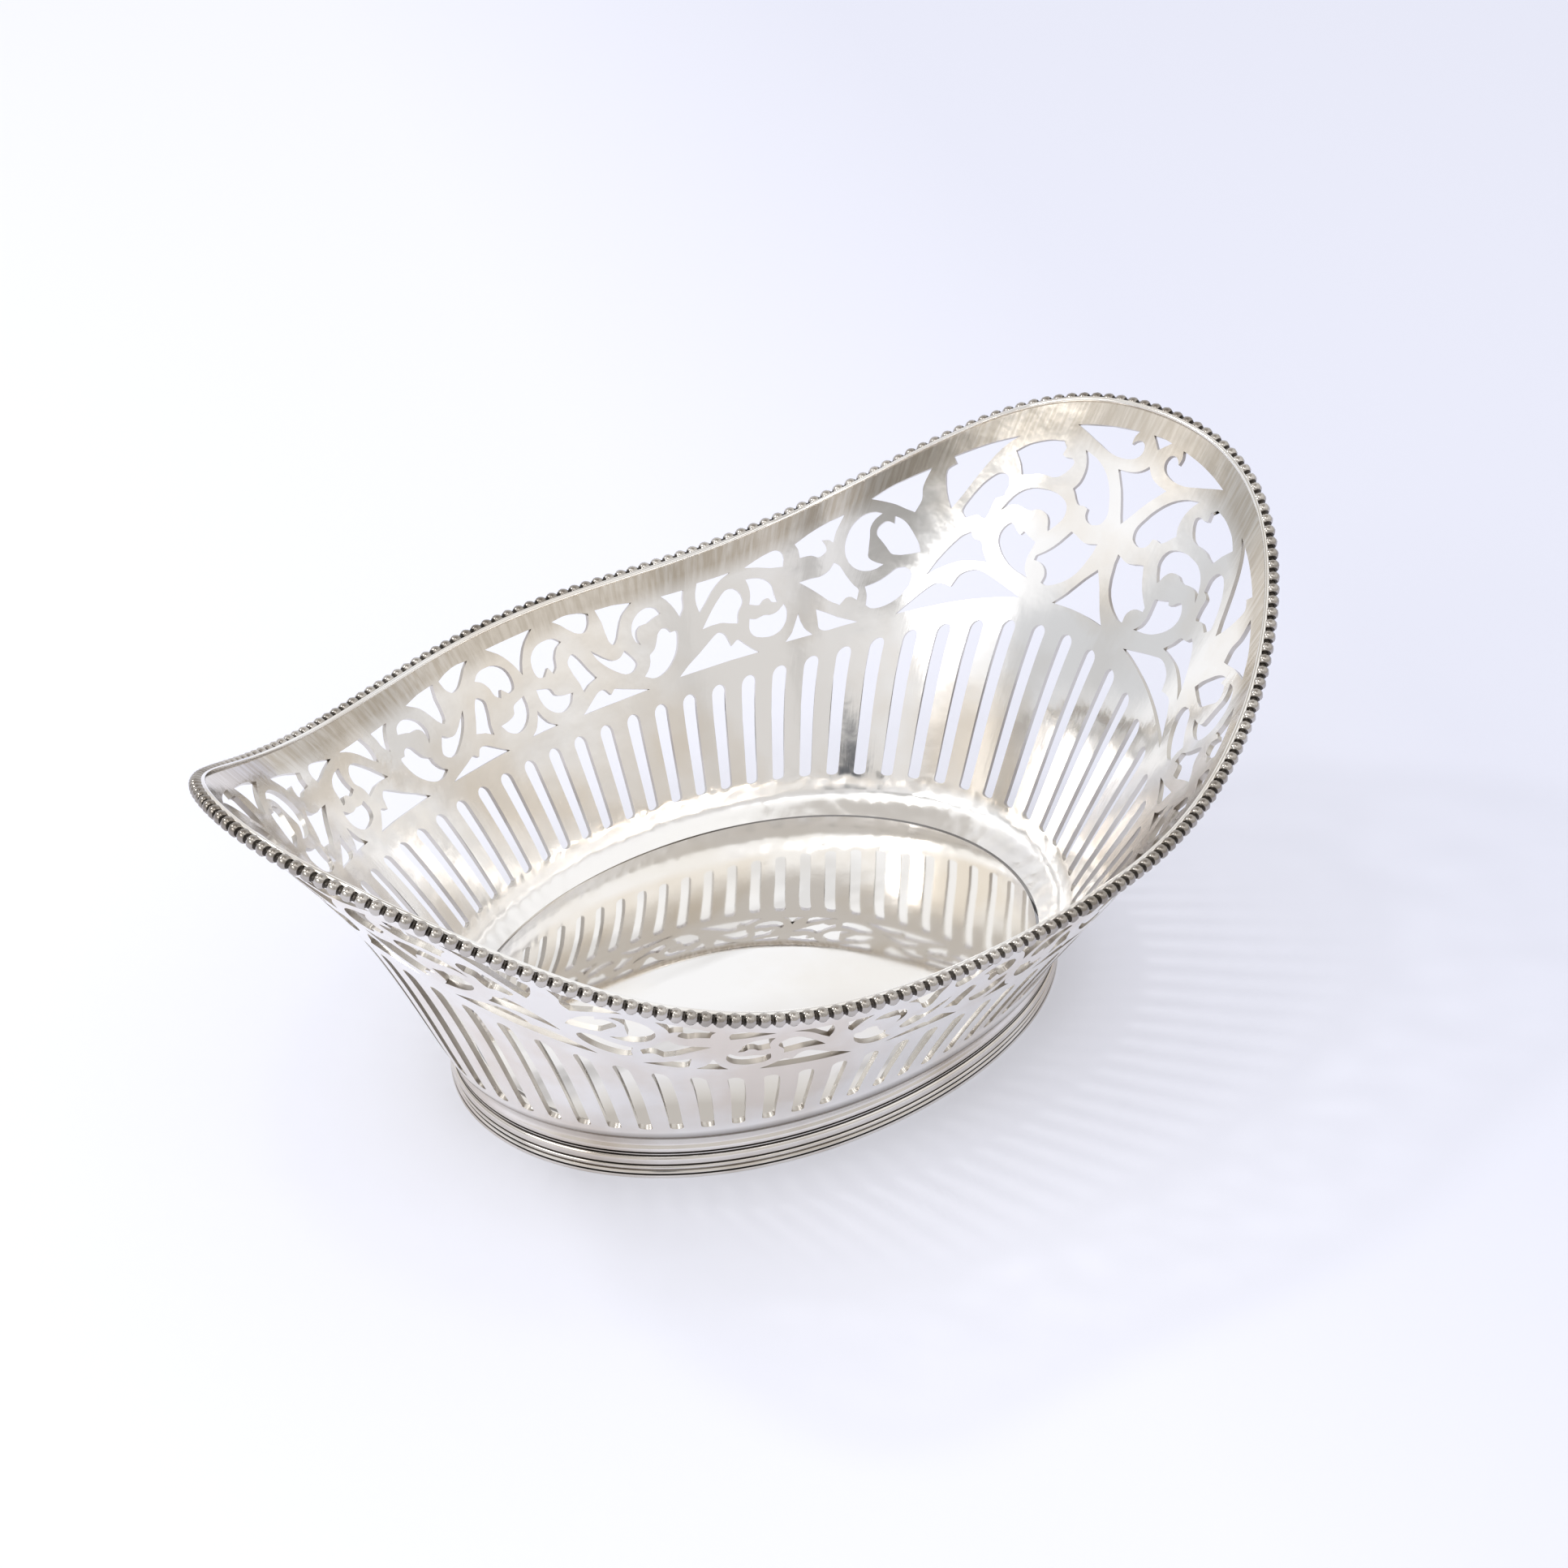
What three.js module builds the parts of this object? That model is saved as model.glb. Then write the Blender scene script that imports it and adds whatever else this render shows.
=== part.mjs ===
// Bonbon basket: an oval pierced silver bowl on a low foot, in the boat shape whose two ends rise and flare.
// Millimetres, +Z up, +X along the length. The origin is on the table, under the middle of the foot.
// The basket is soldered up from six pieces: the pierced bowl wall, the floor plate inside it, a moulded foot
// band, the wire that the foot stands on, a plain rim wire and the beaded wire round the very edge.

import * as THREE from 'three';

// Sheet and gaps
const SHEET = 0.7;              // thickness of the bowl wall
const SOLDER_GAP = 0.3;         // clearance left where two pieces are soldered
const FLOOR_THICKNESS = 0.9;
const FLOOR_INSET = 0.8;        // from the wall's middle surface to the floor plate's edge

// Heights of the level lines of the bowl
const FLOOR_LINE_HEIGHT = 5.3;
const SHOULDER_HEIGHT = 7.2;
const SLOT_FOOT_HEIGHT = 9.6;
const SLOT_HEAD_HEIGHT = 25.9;  // mean height; the line rises to the ends
const RIM_HEIGHT = 47.2;        // mean height of the rim

// The plan of each line is x = sum of length[k] cos((2k+1)s), y = sum of width[k] sin((2k+1)s)
// and its height is z = sum of rise[k] cos(2ks), so that every line has the same two planes of symmetry.
const FLOOR_LINE = { length: [42.1, 1.0], width: [33.2, 1.0], rise: [FLOOR_LINE_HEIGHT] };
const SHOULDER = { length: [46.2, 1.0], width: [35.2, 1.0], rise: [SHOULDER_HEIGHT] };
const SLOT_FEET = { length: [47.6, 1.0], width: [36.2, 1.0], rise: [SLOT_FOOT_HEIGHT] };
const SLOT_HEADS = { length: [60.2, -0.2], width: [42.8, 0.6], rise: [SLOT_HEAD_HEIGHT, 6.0, 1.3] };
const RIM = { length: [81.4, -0.6, -0.9], width: [51.5, -0.9, -0.1], rise: [RIM_HEIGHT, 12.7, 1.2, -1.3] };
const FAN = 0.06;               // radians by which the slots fan out towards the ends as they rise

// Piercing
const SLOTS = 68;
const SLOT_FOOT_WIDTH = 1.7;
const SLOT_HEAD_WIDTH = 2.2;
const QUARTER_DRAWN = 99;       // length of the drawing of a quarter of the frieze
const CUT_TOLERANCE = 0.35;     // how far a straight piece of a cut may leave the drawn curve
const DENSE_STEPS = 8;          // points on the curve between two drawn points, before thinning

// Foot
const FOOT = { length: [45.0, 1.0], width: [34.0, 1.0], rise: [0] };
const FOOT_STATIONS = 56;
// Sections of the two foot pieces: millimetres out from the foot line, and up from the table.
const FOOT_BAND_SECTION = [[-0.9, 1.4], [0.0, 1.4], [0.5, 2.0], [0.6, 2.9], [0.4, 3.7], [0.0, 4.1], [0.4, 4.4],
  [0.2, 4.8], [0.6, 5.65], [-0.9, 4.6]];
const FOOT_WIRE_SECTION = [[-0.7, 0], [0.3, 0], [0.6, 0.55], [0.3, 1.1], [-0.7, 1.1]];

// Rim wires
const BEAD_COUNT = 228;
const BEAD_RADIUS = 0.92;
const BEAD_NECK_RADIUS = 0.6;
const BEAD_SIDES = 4;
const INNER_WIRE_RADIUS = 0.45;
const INNER_WIRE_SIDES = 5;

// Working steps
const TURN = 2 * Math.PI;
const SMALL = 1e-3;             // a step for measuring directions
const NEAR = 1e-5;              // places of the sheet closer than this are one place
const FINE_STEPS = 400;         // steps along a quarter line when it is measured
const FRIEZE_STEPS = 120;       // steps of the table of angles along a quarter of the frieze
const FLATNESS = 0.25;          // how far a triangle's inner edge may leave the wall's curve
const LEAST_AREA = 1e-5;        // smallest flat triangle that an edge may be turned into
const EVENING_ROUNDS = 5;

// Finishes
const SILVER = { color: 0xd9d3ca, roughness: 0.22, metalness: 1.0 };
const POLISHED = { color: 0xe2ddd5, roughness: 0.12, metalness: 1.0 };

// The openings of a quarter of the frieze, drawn flat. Each point is "along,up": millimetres from the middle of
// the end towards the middle of the side, and millimetres up the wall from the slot heads. A star marks a sharp
// corner; the outline is a smooth curve through the other points. An opening in the middle of an end or a side
// is drawn as its half, open on the line of symmetry.
const END_MIDDLE_OPENINGS = [
  '0,3.6* 5.0,3.6* 3.5,5.3 2.5,6.8 1.6,8.2 0.8,9.3 0,10.3*',
  '0,17.3* 0.6,18.2 1.3,19.4 2.1,20.8 3.0,22.2 4.0,23.5 4.6,24.3* 3.0,24.35 1.6,24.7 0.7,25.3 0,26.1*',
  '0,28.6* 1.7,30.3* 0,30.4*',
];
const SIDE_MIDDLE_OPENINGS = [
  '99,2.8* 96.3,2.8* 97.6,3.6 98.5,4.8 99,5.9*',
  '99,11.2* 98.3,12.8 96.9,14.9 95.0,16.5* 99,16.5*',
];
const QUARTER_OPENINGS = [
  '4.1,30.2* 8.5,30.2 14.0,30.1* 12.3,29.1 10.6,28.1 8.9,27.2 7.3,26.4 5.4,25.95 4.0,26.0 2.8,26.4 '
    + '2.2,27.1 2.1,27.9 2.5,28.7 3.3,29.0 4.1,28.6 4.4,28.2* 4.5,29.2',
  '11.0,26.3* 8.8,25.3 7.0,24.1 5.8,23.0 4.8,21.8 4.0,20.6 3.3,19.2 2.8,18.0 2.8,17.0 3.2,16.2 4.4,15.8 '
    + '5.6,16.2 6.2,17.0 6.35,17.9* 7.1,18.2 8.0,18.2 8.9,19.0 9.5,19.8 10.1,20.5* 9.6,21.4 9.5,22.6 '
    + '9.7,23.8 10.2,25.0',
  '2.05,13.5* 4.0,13.1 5.1,13.4 6.1,13.9 7.1,14.3* 7.7,13.4 8.3,12.4 9.1,11.5 10.1,10.7 11.0,10.2* '
    + '11.0,9.5* 9.9,9.2 9.1,8.7 8.5,8.0 8.2,7.2 8.3,6.2* 7.4,5.9 6.1,6.2 4.7,7.0 3.5,8.2 2.8,9.6 2.4,11.0 '
    + '2.1,12.3',
  '14.0,27.5* 15.5,27.7 17.2,27.85 19.0,27.7 20.5,27.4 22.0,26.6* 21.2,25.6 20.4,24.6 19.8,23.6 19.3,22.7* '
    + '17.8,22.6 16.8,22.7 15.3,22.4 14.1,22.05 13.1,22.2 12.4,22.8 11.9,23.6 11.8,24.3 12.4,24.9 13.6,25.1 '
    + '14.2,25.5* 14.1,26.3',
  '10.9,13.9* 10.0,14.9 9.4,16.0 9.5,17.3 10.2,18.4 11.5,19.3 13.2,20.0 15.0,20.4 16.9,20.55 18.5,20.0 '
    + '19.5,18.9 20.1,17.4* 19.0,18.1 18.0,18.1 17.1,17.8 16.1,17.3 15.0,17.0 14.2,17.2 13.3,17.0 12.3,16.4 '
    + '11.6,15.5 11.2,14.5',
  '12.05,12.2* 13.6,13.1 14.7,13.9* 15.1,13.4* 15.9,14.0 16.7,14.9 17.5,15.35 18.3,14.8 18.6,13.8 '
    + '18.3,12.6 17.7,11.6 16.9,10.6 15.9,9.6 14.7,8.6 13.0,7.6 10.9,6.7* 11.8,7.9 12.2,9.2 12.2,10.8',
  '10.8,3.6* 16.0,3.5 21.0,3.5 26.0,3.4 31.9,3.4* 30.0,4.9 28.0,6.4 26.4,7.2 24.7,6.8 23.4,6.2* 22.6,7.9 '
    + '21.0,8.4 19.4,8.2 16.6,6.8 13.6,5.1',
  '20.7,19.6* 20.6,21.4 21.7,23.0 23.3,23.4 25.0,22.3 26.3,20.2 26.8,18.4 25.6,17.0* 23.8,17.2 22.2,16.4 '
    + '21.9,17.8 21.9,19.4',
  '18.6,9.3* 20.0,11.1 21.1,12.8 22.6,13.5 23.6,14.7* 25.0,14.2 26.4,12.8 27.8,10.8 28.7,8.8* 26.5,9.6 '
    + '23.5,10.1 21.0,9.8',
  '22.3,28.9* 27.0,28.4 32.2,27.3* 31.2,26.1* 32.4,25.4 31.7,23.2 30.4,20.9 28.9,18.9* 27.9,20.6 26.6,23.6 '
    + '25.2,26.2 23.8,27.9',
  '35.2,26.1* 38.0,25.4 41.2,24.4 43.9,23.0* 41.5,22.2 39.0,21.3 37.0,20.3 35.2,19.5* 34.8,21.2 35.5,23.4',
  '41.0,20.4* 42.6,20.9 44.4,20.7 45.7,19.4 46.0,17.4 45.5,15.6 44.3,13.9 42.6,12.6 40.6,11.8 38.7,11.7 '
    + '37.4,12.2* 39.2,12.9 40.8,13.9 41.3,15.3 41.8,17.0 42.3,18.6 42.0,19.6',
  '38.6,19.6* 37.0,18.8 35.4,17.6 33.8,16.0 32.3,14.4 31.3,12.9* 33.0,12.9 35.0,13.1 36.6,13.6 38.0,14.8 '
    + '39.6,16.2 40.8,17.4 40.9,18.3 40.1,19.0 39.2,18.9 38.2,18.4*',
  '33.2,11.0 34.8,11.1 35.9,10.4 37.3,9.7 39.6,9.3* 38.7,7.8 38.3,6.2* 37.0,5.4 35.2,5.2 33.3,5.6 31.9,6.5 '
    + '31.1,8.0 31.4,9.7',
  '40.3,7.4* 40.6,9.0 42.0,10.1 44.0,11.9 45.7,13.6 46.9,14.3* 47.4,13.2 48.6,12.6 50.2,12.6 52.3,12.4* '
    + '50.5,11.3 48.0,9.8 45.5,8.3 43.4,7.3* 42.5,8.2 41.5,8.1',
  '38.9,3.7* 42.0,3.7 45.0,3.7 46.3,4.4 46.9,5.7 47.8,7.6* 45.8,6.7 43.6,5.6 41.2,4.6',
  '47.2,3.6* 49.0,4.9 50.2,6.3 51.0,7.6* 51.2,6.2 51.4,4.8 52.3,3.6*',
  '47.6,21.4* 50.0,20.7 52.5,19.6 54.6,18.3* 53.8,17.4 53.2,16.1* 51.4,16.1 49.8,15.6 48.9,16.3 49.3,17.2 '
    + '50.2,18.1* 48.9,17.9 48.1,17.4* 48.2,18.9 47.9,20.2',
  '55.7,15.3* 55.9,16.6 56.6,17.6 57.6,18.0 59.2,17.6 61.0,16.8 62.0,16.3* 60.0,16.0 57.8,15.5',
  '61.6,14.6* 59.9,14.5 58.4,14.0 57.0,12.9 56.2,11.4 55.4,10.2* 56.4,10.4 57.2,11.1 58.0,11.0 58.5,10.4 '
    + '60.3,10.8* 60.4,12.2 60.9,13.5',
  '54.1,9.7* 54.9,8.8 56.0,8.5 57.3,8.7 58.6,8.4 59.9,8.7* 59.6,7.0 58.6,5.9 56.8,5.3 55.0,5.2 53.6,5.8 '
    + '53.0,7.0 53.3,8.6',
  '61.8,8.4* 62.0,10.0 61.5,11.4 62.2,12.8 63.5,13.7 64.7,13.6 65.8,12.4 66.9,10.8 68.0,8.9* 66.5,9.1 '
    + '64.8,9.1 63.2,8.7',
  '64.2,16.1* 66.6,15.8 69.2,15.6* 69.4,14.0 69.2,12.7 68.6,11.3* 67.6,12.6 66.6,14.2 65.4,15.4',
  '71.2,15.1* 74.7,15.0* 73.9,14.3 72.8,13.0 71.8,11.4* 71.2,12.6 71.3,14.0',
  '57.2,3.2* 62.0,3.2 67.0,3.1 72.2,3.0* 70.5,4.3 68.4,5.6 66.6,7.0 65.2,7.8 64.0,7.3 63.2,6.2 62.6,5.3* '
    + '61.6,6.0 60.0,5.0 58.4,3.9',
  '74.9,10.6 75.6,10.0 75.9,9.0 76.3,8.1 77.3,7.4* 77.3,6.4 77.8,5.4 78.6,4.7* 77.2,4.1 75.6,4.1 73.9,4.9 '
    + '72.6,6.5 72.2,8.2 72.4,9.7 73.3,9.7* 74.0,10.4',
  '74.9,12.7* 75.6,13.6 76.9,14.0 78.4,13.6 79.5,12.5 79.8,11.0 79.3,9.8 78.6,9.2* 79.0,10.3 78.9,11.2 '
    + '78.3,11.8 77.0,11.9 76.2,12.3',
  '79.2,15.3* 81.8,15.7 84.9,15.8* 84.2,13.8 84.0,12.3 83.6,10.9 83.0,10.4 82.3,11.0 81.7,12.4 80.9,13.9',
  '81.4,9.2* 82.4,8.4 83.4,8.3 84.8,9.0 87.0,10.7* 86.2,9.2 85.0,7.9 83.4,6.7 81.8,5.9 80.3,6.0 79.6,6.8 '
    + '80.2,7.9',
  '78.0,2.7* 84.0,2.6 91.2,2.6* 90.0,3.3 88.6,4.2 87.4,4.9 86.2,4.9 85.2,3.9* 84.4,4.5 82.6,4.0 80.2,3.3',
  '86.0,15.7* 87.5,16.2 89.5,16.5 91.7,16.3* 90.6,15.5 89.6,14.5 88.4,13.6 87.1,13.4 86.3,14.2',
  '87.0,6.9* 88.2,8.6 89.2,10.3 90.1,11.2 91.2,10.3 90.9,8.7 90.2,7.0 89.9,5.6* 88.6,6.4',
  '91.2,13.3* 92.2,14.1 93.8,14.3 95.4,14.0 96.7,12.9 97.1,11.3 96.7,10.0 95.6,9.7* 94.6,10.7* 94.0,9.6* '
    + '93.2,10.3 92.9,11.6 92.2,12.7',
  '97.8,8.6* 96.6,8.3 95.4,7.9 94.9,6.9 93.8,6.4 91.8,6.2* 92.6,4.9 94.3,4.2 96.0,4.6 97.3,5.8 97.8,7.2',
];

const sum = (terms, wave) => terms.reduce((total, size, k) => total + size * wave(k), 0);

// A point of a level line at angle s round the oval.
function onLine(line, s) {
  return new THREE.Vector3(
    sum(line.length, (k) => Math.cos((2 * k + 1) * s)),
    sum(line.width, (k) => Math.sin((2 * k + 1) * s)),
    sum(line.rise, (k) => Math.cos(2 * k * s)),
  );
}

// The bowl's middle surface: s runs round the oval, level from 0 at the floor line to 4 at the rim.
const SHOULDER_LEVEL = 1;
const SLOT_FOOT_LEVEL = 2;
const SLOT_HEAD_LEVEL = 3;
const EDGE_LEVEL = 3.94;
const RIM_LEVEL = 4;
const fanned = (s) => s + FAN * Math.sin(2 * s);
function onWall(s, level) {
  const points = [onLine(FLOOR_LINE, s), onLine(SHOULDER, s), onLine(SLOT_FEET, s),
    onLine(SLOT_HEADS, fanned(s)), onLine(RIM, fanned(s))];
  return new THREE.CatmullRomCurve3(points, false, 'centripetal').getPoint(level / RIM_LEVEL);
}

// The directions up the bowl wall and straight out of it.
function upWall(s, level) {
  const low = onWall(s, Math.max(0, level - SMALL));
  return onWall(s, Math.min(RIM_LEVEL, level + SMALL)).sub(low).normalize();
}
function outOfWall(s, level) {
  const round = onWall(s + SMALL, level).sub(onWall(s - SMALL, level));
  return round.cross(upWall(s, level)).normalize();
}
const offWall = (s, level, distance) => onWall(s, level).addScaledVector(outOfWall(s, level), distance);

// The direction straight out of a level line, in plan.
function outOfLine(line, s) {
  const round = onLine(line, s + SMALL).sub(onLine(line, s - SMALL));
  return new THREE.Vector3(round.y, -round.x, 0).normalize();
}

function meshOf(name, points, triangles, look) {
  const geometry = new THREE.BufferGeometry();
  geometry.setAttribute('position', new THREE.Float32BufferAttribute(points.flatMap((p) => p.toArray()), 3));
  geometry.setIndex(triangles.flat());
  geometry.computeVertexNormals();
  const mesh = new THREE.Mesh(geometry, new THREE.MeshStandardMaterial(look));
  mesh.name = name;
  return mesh;
}

// A closed ring-shaped piece: a section of points at each station, anticlockwise seen along the way round.
function ringPiece(name, sections, look) {
  const size = sections[0].length;
  const triangles = [];
  sections.forEach((section, i) => {
    const next = (i + 1) % sections.length;
    section.forEach((_, j) => {
      const k = (j + 1) % size;
      const [a, b, c, d] = [i * size + j, next * size + j, next * size + k, i * size + k];
      triangles.push([a, b, c], [a, c, d]);
    });
  });
  return meshOf(name, sections.flat(), triangles, look);
}

const angles = (count) => Array.from({ length: count }, (_, i) => (TURN * i) / count);

// Angles from 0 to a quarter turn at equal steps along a curve given as a function of the angle.
function evenQuarter(curve, count) {
  const fine = Array.from({ length: FINE_STEPS + 1 }, (_, i) => (TURN / 4) * (i / FINE_STEPS));
  const run = [0];
  fine.slice(1).forEach((s, i) => run.push(run[i] + curve(s).distanceTo(curve(fine[i]))));
  return Array.from({ length: count + 1 }, (_, k) => {
    const wanted = Math.min(run[FINE_STEPS], (run[FINE_STEPS] * k) / count);
    const i = Math.min(FINE_STEPS - 1, run.findLastIndex((length) => length <= wanted));
    return THREE.MathUtils.mapLinear(wanted, run[i], run[i + 1], fine[i], fine[i + 1]);
  });
}

// The same angles carried on round the whole oval.
function evenRound(curve, count) {
  const quarter = evenQuarter(curve, count / 4);
  const half = [...quarter, ...quarter.slice(0, -1).reverse().map((s) => TURN / 2 - s)];
  return [...half, ...half.slice(1, -1).map((s) => TURN / 2 + s)];
}

// Where a point of the drawing of the frieze lies on the wall: its angle, and its level.
const middleOfFrieze = (s) => onLine(SLOT_HEADS, fanned(s)).add(onLine(RIM, fanned(s))).multiplyScalar(0.5);
const FRIEZE_ANGLES = evenQuarter(middleOfFrieze, FRIEZE_STEPS);
function onFrieze(point) {
  const place = THREE.MathUtils.clamp(point.x / QUARTER_DRAWN, 0, 1) * FRIEZE_STEPS;
  const i = Math.min(FRIEZE_STEPS - 1, Math.floor(place));
  const s = THREE.MathUtils.lerp(FRIEZE_ANGLES[i], FRIEZE_ANGLES[i + 1], place - i);
  const height = onLine(SLOT_HEADS, fanned(s)).distanceTo(onLine(RIM, fanned(s)));
  return new THREE.Vector2(s, SLOT_HEAD_LEVEL + point.y / height);
}

// Reads an outline as a dense curve: smooth between the starred corners.
function denseOutline(outline) {
  const points = outline.split(' ').map((word) => {
    const [along, up] = word.replace('*', '').split(',').map(Number);
    return { sharp: word.endsWith('*'), at: new THREE.Vector3(along, up, 0) };
  });
  const dense = [];
  let run = [];
  points.forEach((p, i) => {
    run.push(p.at);
    const last = i === points.length - 1;
    if (run.length > 1 && (p.sharp || last)) {
      const curve = new THREE.CatmullRomCurve3(run, false, 'centripetal');
      dense.push(...curve.getPoints(DENSE_STEPS * (run.length - 1)).slice(0, last ? undefined : -1));
      run = [p.at];
    }
  });
  return dense;
}

// Keeps only the points of an open run that stand further than the tolerance off the line between its ends.
function thinned(run) {
  if (run.length < 3) return run;
  const line = new THREE.Line3(run[0], run[run.length - 1]);
  const offs = run.map((p) => line.closestPointToPoint(p, true, new THREE.Vector3()).distanceTo(p));
  const far = offs.indexOf(Math.max(...offs));
  if (offs[far] < CUT_TOLERANCE) return [run[0], run[run.length - 1]];
  return [...thinned(run.slice(0, far + 1)).slice(0, -1), ...thinned(run.slice(far))];
}

// A closed opening as places on the wall. Its drawing starts at its first point and comes back to it.
function openingPlaces(outline) {
  const dense = denseOutline(`${outline} ${outline.split(' ')[0]}`);
  const offs = dense.map((p) => p.distanceTo(dense[0]));
  const far = offs.indexOf(Math.max(...offs));
  const points = [...thinned(dense.slice(0, far + 1)).slice(0, -1), ...thinned(dense.slice(far)).slice(0, -1)];
  return points.map(onFrieze);
}

// The half of a slot that lies on one side of its own line, from its foot to its head.
function halfSlotPlaces(s, side) {
  const lift = onWall(s, SLOT_FOOT_LEVEL).distanceTo(onWall(s, SLOT_HEAD_LEVEL));
  const place = (level, width, back) => {
    const round = onWall(s + SMALL, level).distanceTo(onWall(s - SMALL, level)) / (2 * SMALL);
    return new THREE.Vector2(s + (side * width) / 2 / round, level + (back * width) / 2 / lift);
  };
  return [
    place(SLOT_FOOT_LEVEL, 0, 0),
    place(SLOT_FOOT_LEVEL, SLOT_FOOT_WIDTH, 1),
    place(SLOT_HEAD_LEVEL, SLOT_HEAD_WIDTH, -1),
    place(SLOT_HEAD_LEVEL, 0, 0),
  ];
}
function slotPlaces(s) {
  return [...halfSlotPlaces(s, 1), ...halfSlotPlaces(s, -1).reverse().slice(1, -1)];
}

// Looks up the triangle on the left of each edge, and makes the new triangles of an edge known.
function edgeTable(triangles) {
  const table = new Map();
  const enter = (id) => triangles[id].forEach((a, k, corners) => table.set(`${a} ${corners[(k + 1) % 3]}`, id));
  triangles.forEach((_, id) => enter(id));
  const across = (id, a, b) => triangles[id].find((corner) => corner !== a && corner !== b);
  const pair = (edge) => {
    const [a, b] = edge.split(' ').map(Number);
    const [left, right] = [table.get(edge), table.get(`${b} ${a}`)];
    if (left === undefined || right === undefined) return undefined;
    return { a, b, left, right, c: across(left, a, b), d: across(right, a, b) };
  };
  return { table, enter, pair };
}

// Turns the edge between two triangles wherever the other diagonal is the shorter one on the wall.
function turnEdges(places, triangles) {
  const points = places.map((p) => onWall(p.x, p.y));
  const { table, enter, pair } = edgeTable(triangles);
  const isOpen = (...corners) => THREE.ShapeUtils.area(corners.map((i) => places[i])) > LEAST_AREA;
  let turned = true;
  while (turned) {
    turned = false;
    for (const edge of [...table.keys()]) {
      const found = pair(edge);
      if (!found) continue;
      const { a, b, c, d, left, right } = found;
      const gain = points[a].distanceTo(points[b]) - points[c].distanceTo(points[d]);
      if (gain < SMALL || !isOpen(a, d, c) || !isOpen(d, b, c)) continue;
      table.delete(edge);
      table.delete(`${b} ${a}`);
      triangles[left] = [a, d, c];
      triangles[right] = [d, b, c];
      enter(left);
      enter(right);
      turned = true;
    }
  }
}

// Puts a point on the middle of each inner edge that cuts too far across the wall's curve.
function splitEdges(places, triangles) {
  const { table, pair } = edgeTable(triangles);
  const done = new Set();
  for (const edge of table.keys()) {
    const found = pair(edge);
    if (!found || done.has(found.left) || done.has(found.right)) continue;
    const { a, b, c, d, left, right } = found;
    const [from, to] = [places[a], places[b]];
    const middle = from.clone().lerp(to, 0.5);
    const chord = onWall(from.x, from.y).lerp(onWall(to.x, to.y), 0.5);
    if (onWall(middle.x, middle.y).distanceTo(chord) < FLATNESS) continue;
    const m = places.push(middle) - 1;
    triangles[left] = [a, m, c];
    triangles[right] = [b, m, d];
    triangles.push([m, b, c], [m, a, d]);
    done.add(left).add(right);
  }
}

// Makes the flat triangles follow the curve of the wall.
function evenOut(places, triangles) {
  turnEdges(places, triangles);
  for (let round = 0; round < EVENING_ROUNDS; round += 1) {
    splitEdges(places, triangles);
    turnEdges(places, triangles);
  }
}

// A quarter of the pierced sheet, flat, as angle and level. What lies on its two upright edges is a notch.
function quarterSheet() {
  const slots = evenQuarter((s) => onLine(SLOT_FEET, s), SLOTS / 4);
  const bars = slots.slice(1).map((s, i) => (s + slots[i]) / 2);
  const along = [0, ...bars, TURN / 4];
  const notches = (outlines) => outlines.flatMap((outline) => thinned(denseOutline(outline)).map(onFrieze));
  const endEdge = [...halfSlotPlaces(0, 1), ...notches(END_MIDDLE_OPENINGS)];
  const sideEdge = [...halfSlotPlaces(TURN / 4, -1), ...notches(SIDE_MIDDLE_OPENINGS)];
  const sheet = new THREE.Shape([
    ...along.map((s) => new THREE.Vector2(s, SHOULDER_LEVEL)),
    ...sideEdge,
    ...along.toReversed().map((s) => new THREE.Vector2(s, EDGE_LEVEL)),
    ...endEdge.reverse(),
  ]);
  const openings = [...slots.slice(1, -1).map(slotPlaces), ...QUARTER_OPENINGS.map(openingPlaces)];
  sheet.holes = openings.map((places) => new THREE.Path(places));
  const flat = new THREE.ShapeGeometry(sheet);
  const places = Array.from({ length: flat.attributes.position.count }, (_, i) => (
    new THREE.Vector2(flat.attributes.position.getX(i), flat.attributes.position.getY(i))));
  const triangles = Array.from({ length: flat.index.count / 3 }, (_, i) => (
    [0, 1, 2].map((corner) => flat.index.getX(3 * i + corner))));
  evenOut(places, triangles);
  return { places, triangles, along };
}

// Plain rows of the sheet between level lines, below and above the pierced part.
function plainRows(along, levels) {
  const places = levels.flatMap((level) => along.map((s) => new THREE.Vector2(s, level)));
  const triangles = [];
  for (let row = 0; row < levels.length - 1; row += 1) {
    for (let i = 0; i < along.length - 1; i += 1) {
      const a = row * along.length + i;
      const b = a + along.length;
      triangles.push([a, a + 1, b + 1], [a, b + 1, b]);
    }
  }
  return { places, triangles };
}

// The four quarters joined into one flat ring, with shared places merged.
function roundSheet() {
  const upper = quarterSheet();
  const shoulder = plainRows(upper.along, [0, SHOULDER_LEVEL / 2, SHOULDER_LEVEL]);
  const patches = [upper, shoulder, plainRows(upper.along, [EDGE_LEVEL, RIM_LEVEL])];
  const places = [];
  const known = new Map();
  const triangles = [];
  const mirrors = [(s) => s, (s) => TURN / 2 - s, (s) => TURN / 2 + s, (s) => TURN - s];
  mirrors.forEach((mirror, quarter) => {
    for (const patch of patches) {
      const ids = patch.places.map((place) => {
        const s = mirror(place.x);
        const key = `${Math.round(s / NEAR) % Math.round(TURN / NEAR)} ${Math.round(place.y / NEAR)}`;
        if (!known.has(key)) {
          known.set(key, places.length);
          places.push(new THREE.Vector2(s, place.y));
        }
        return known.get(key);
      });
      for (const [a, b, c] of patch.triangles) {
        triangles.push(quarter % 2 === 0 ? [ids[a], ids[b], ids[c]] : [ids[a], ids[c], ids[b]]);
      }
    }
  });
  return { places, triangles };
}

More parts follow.
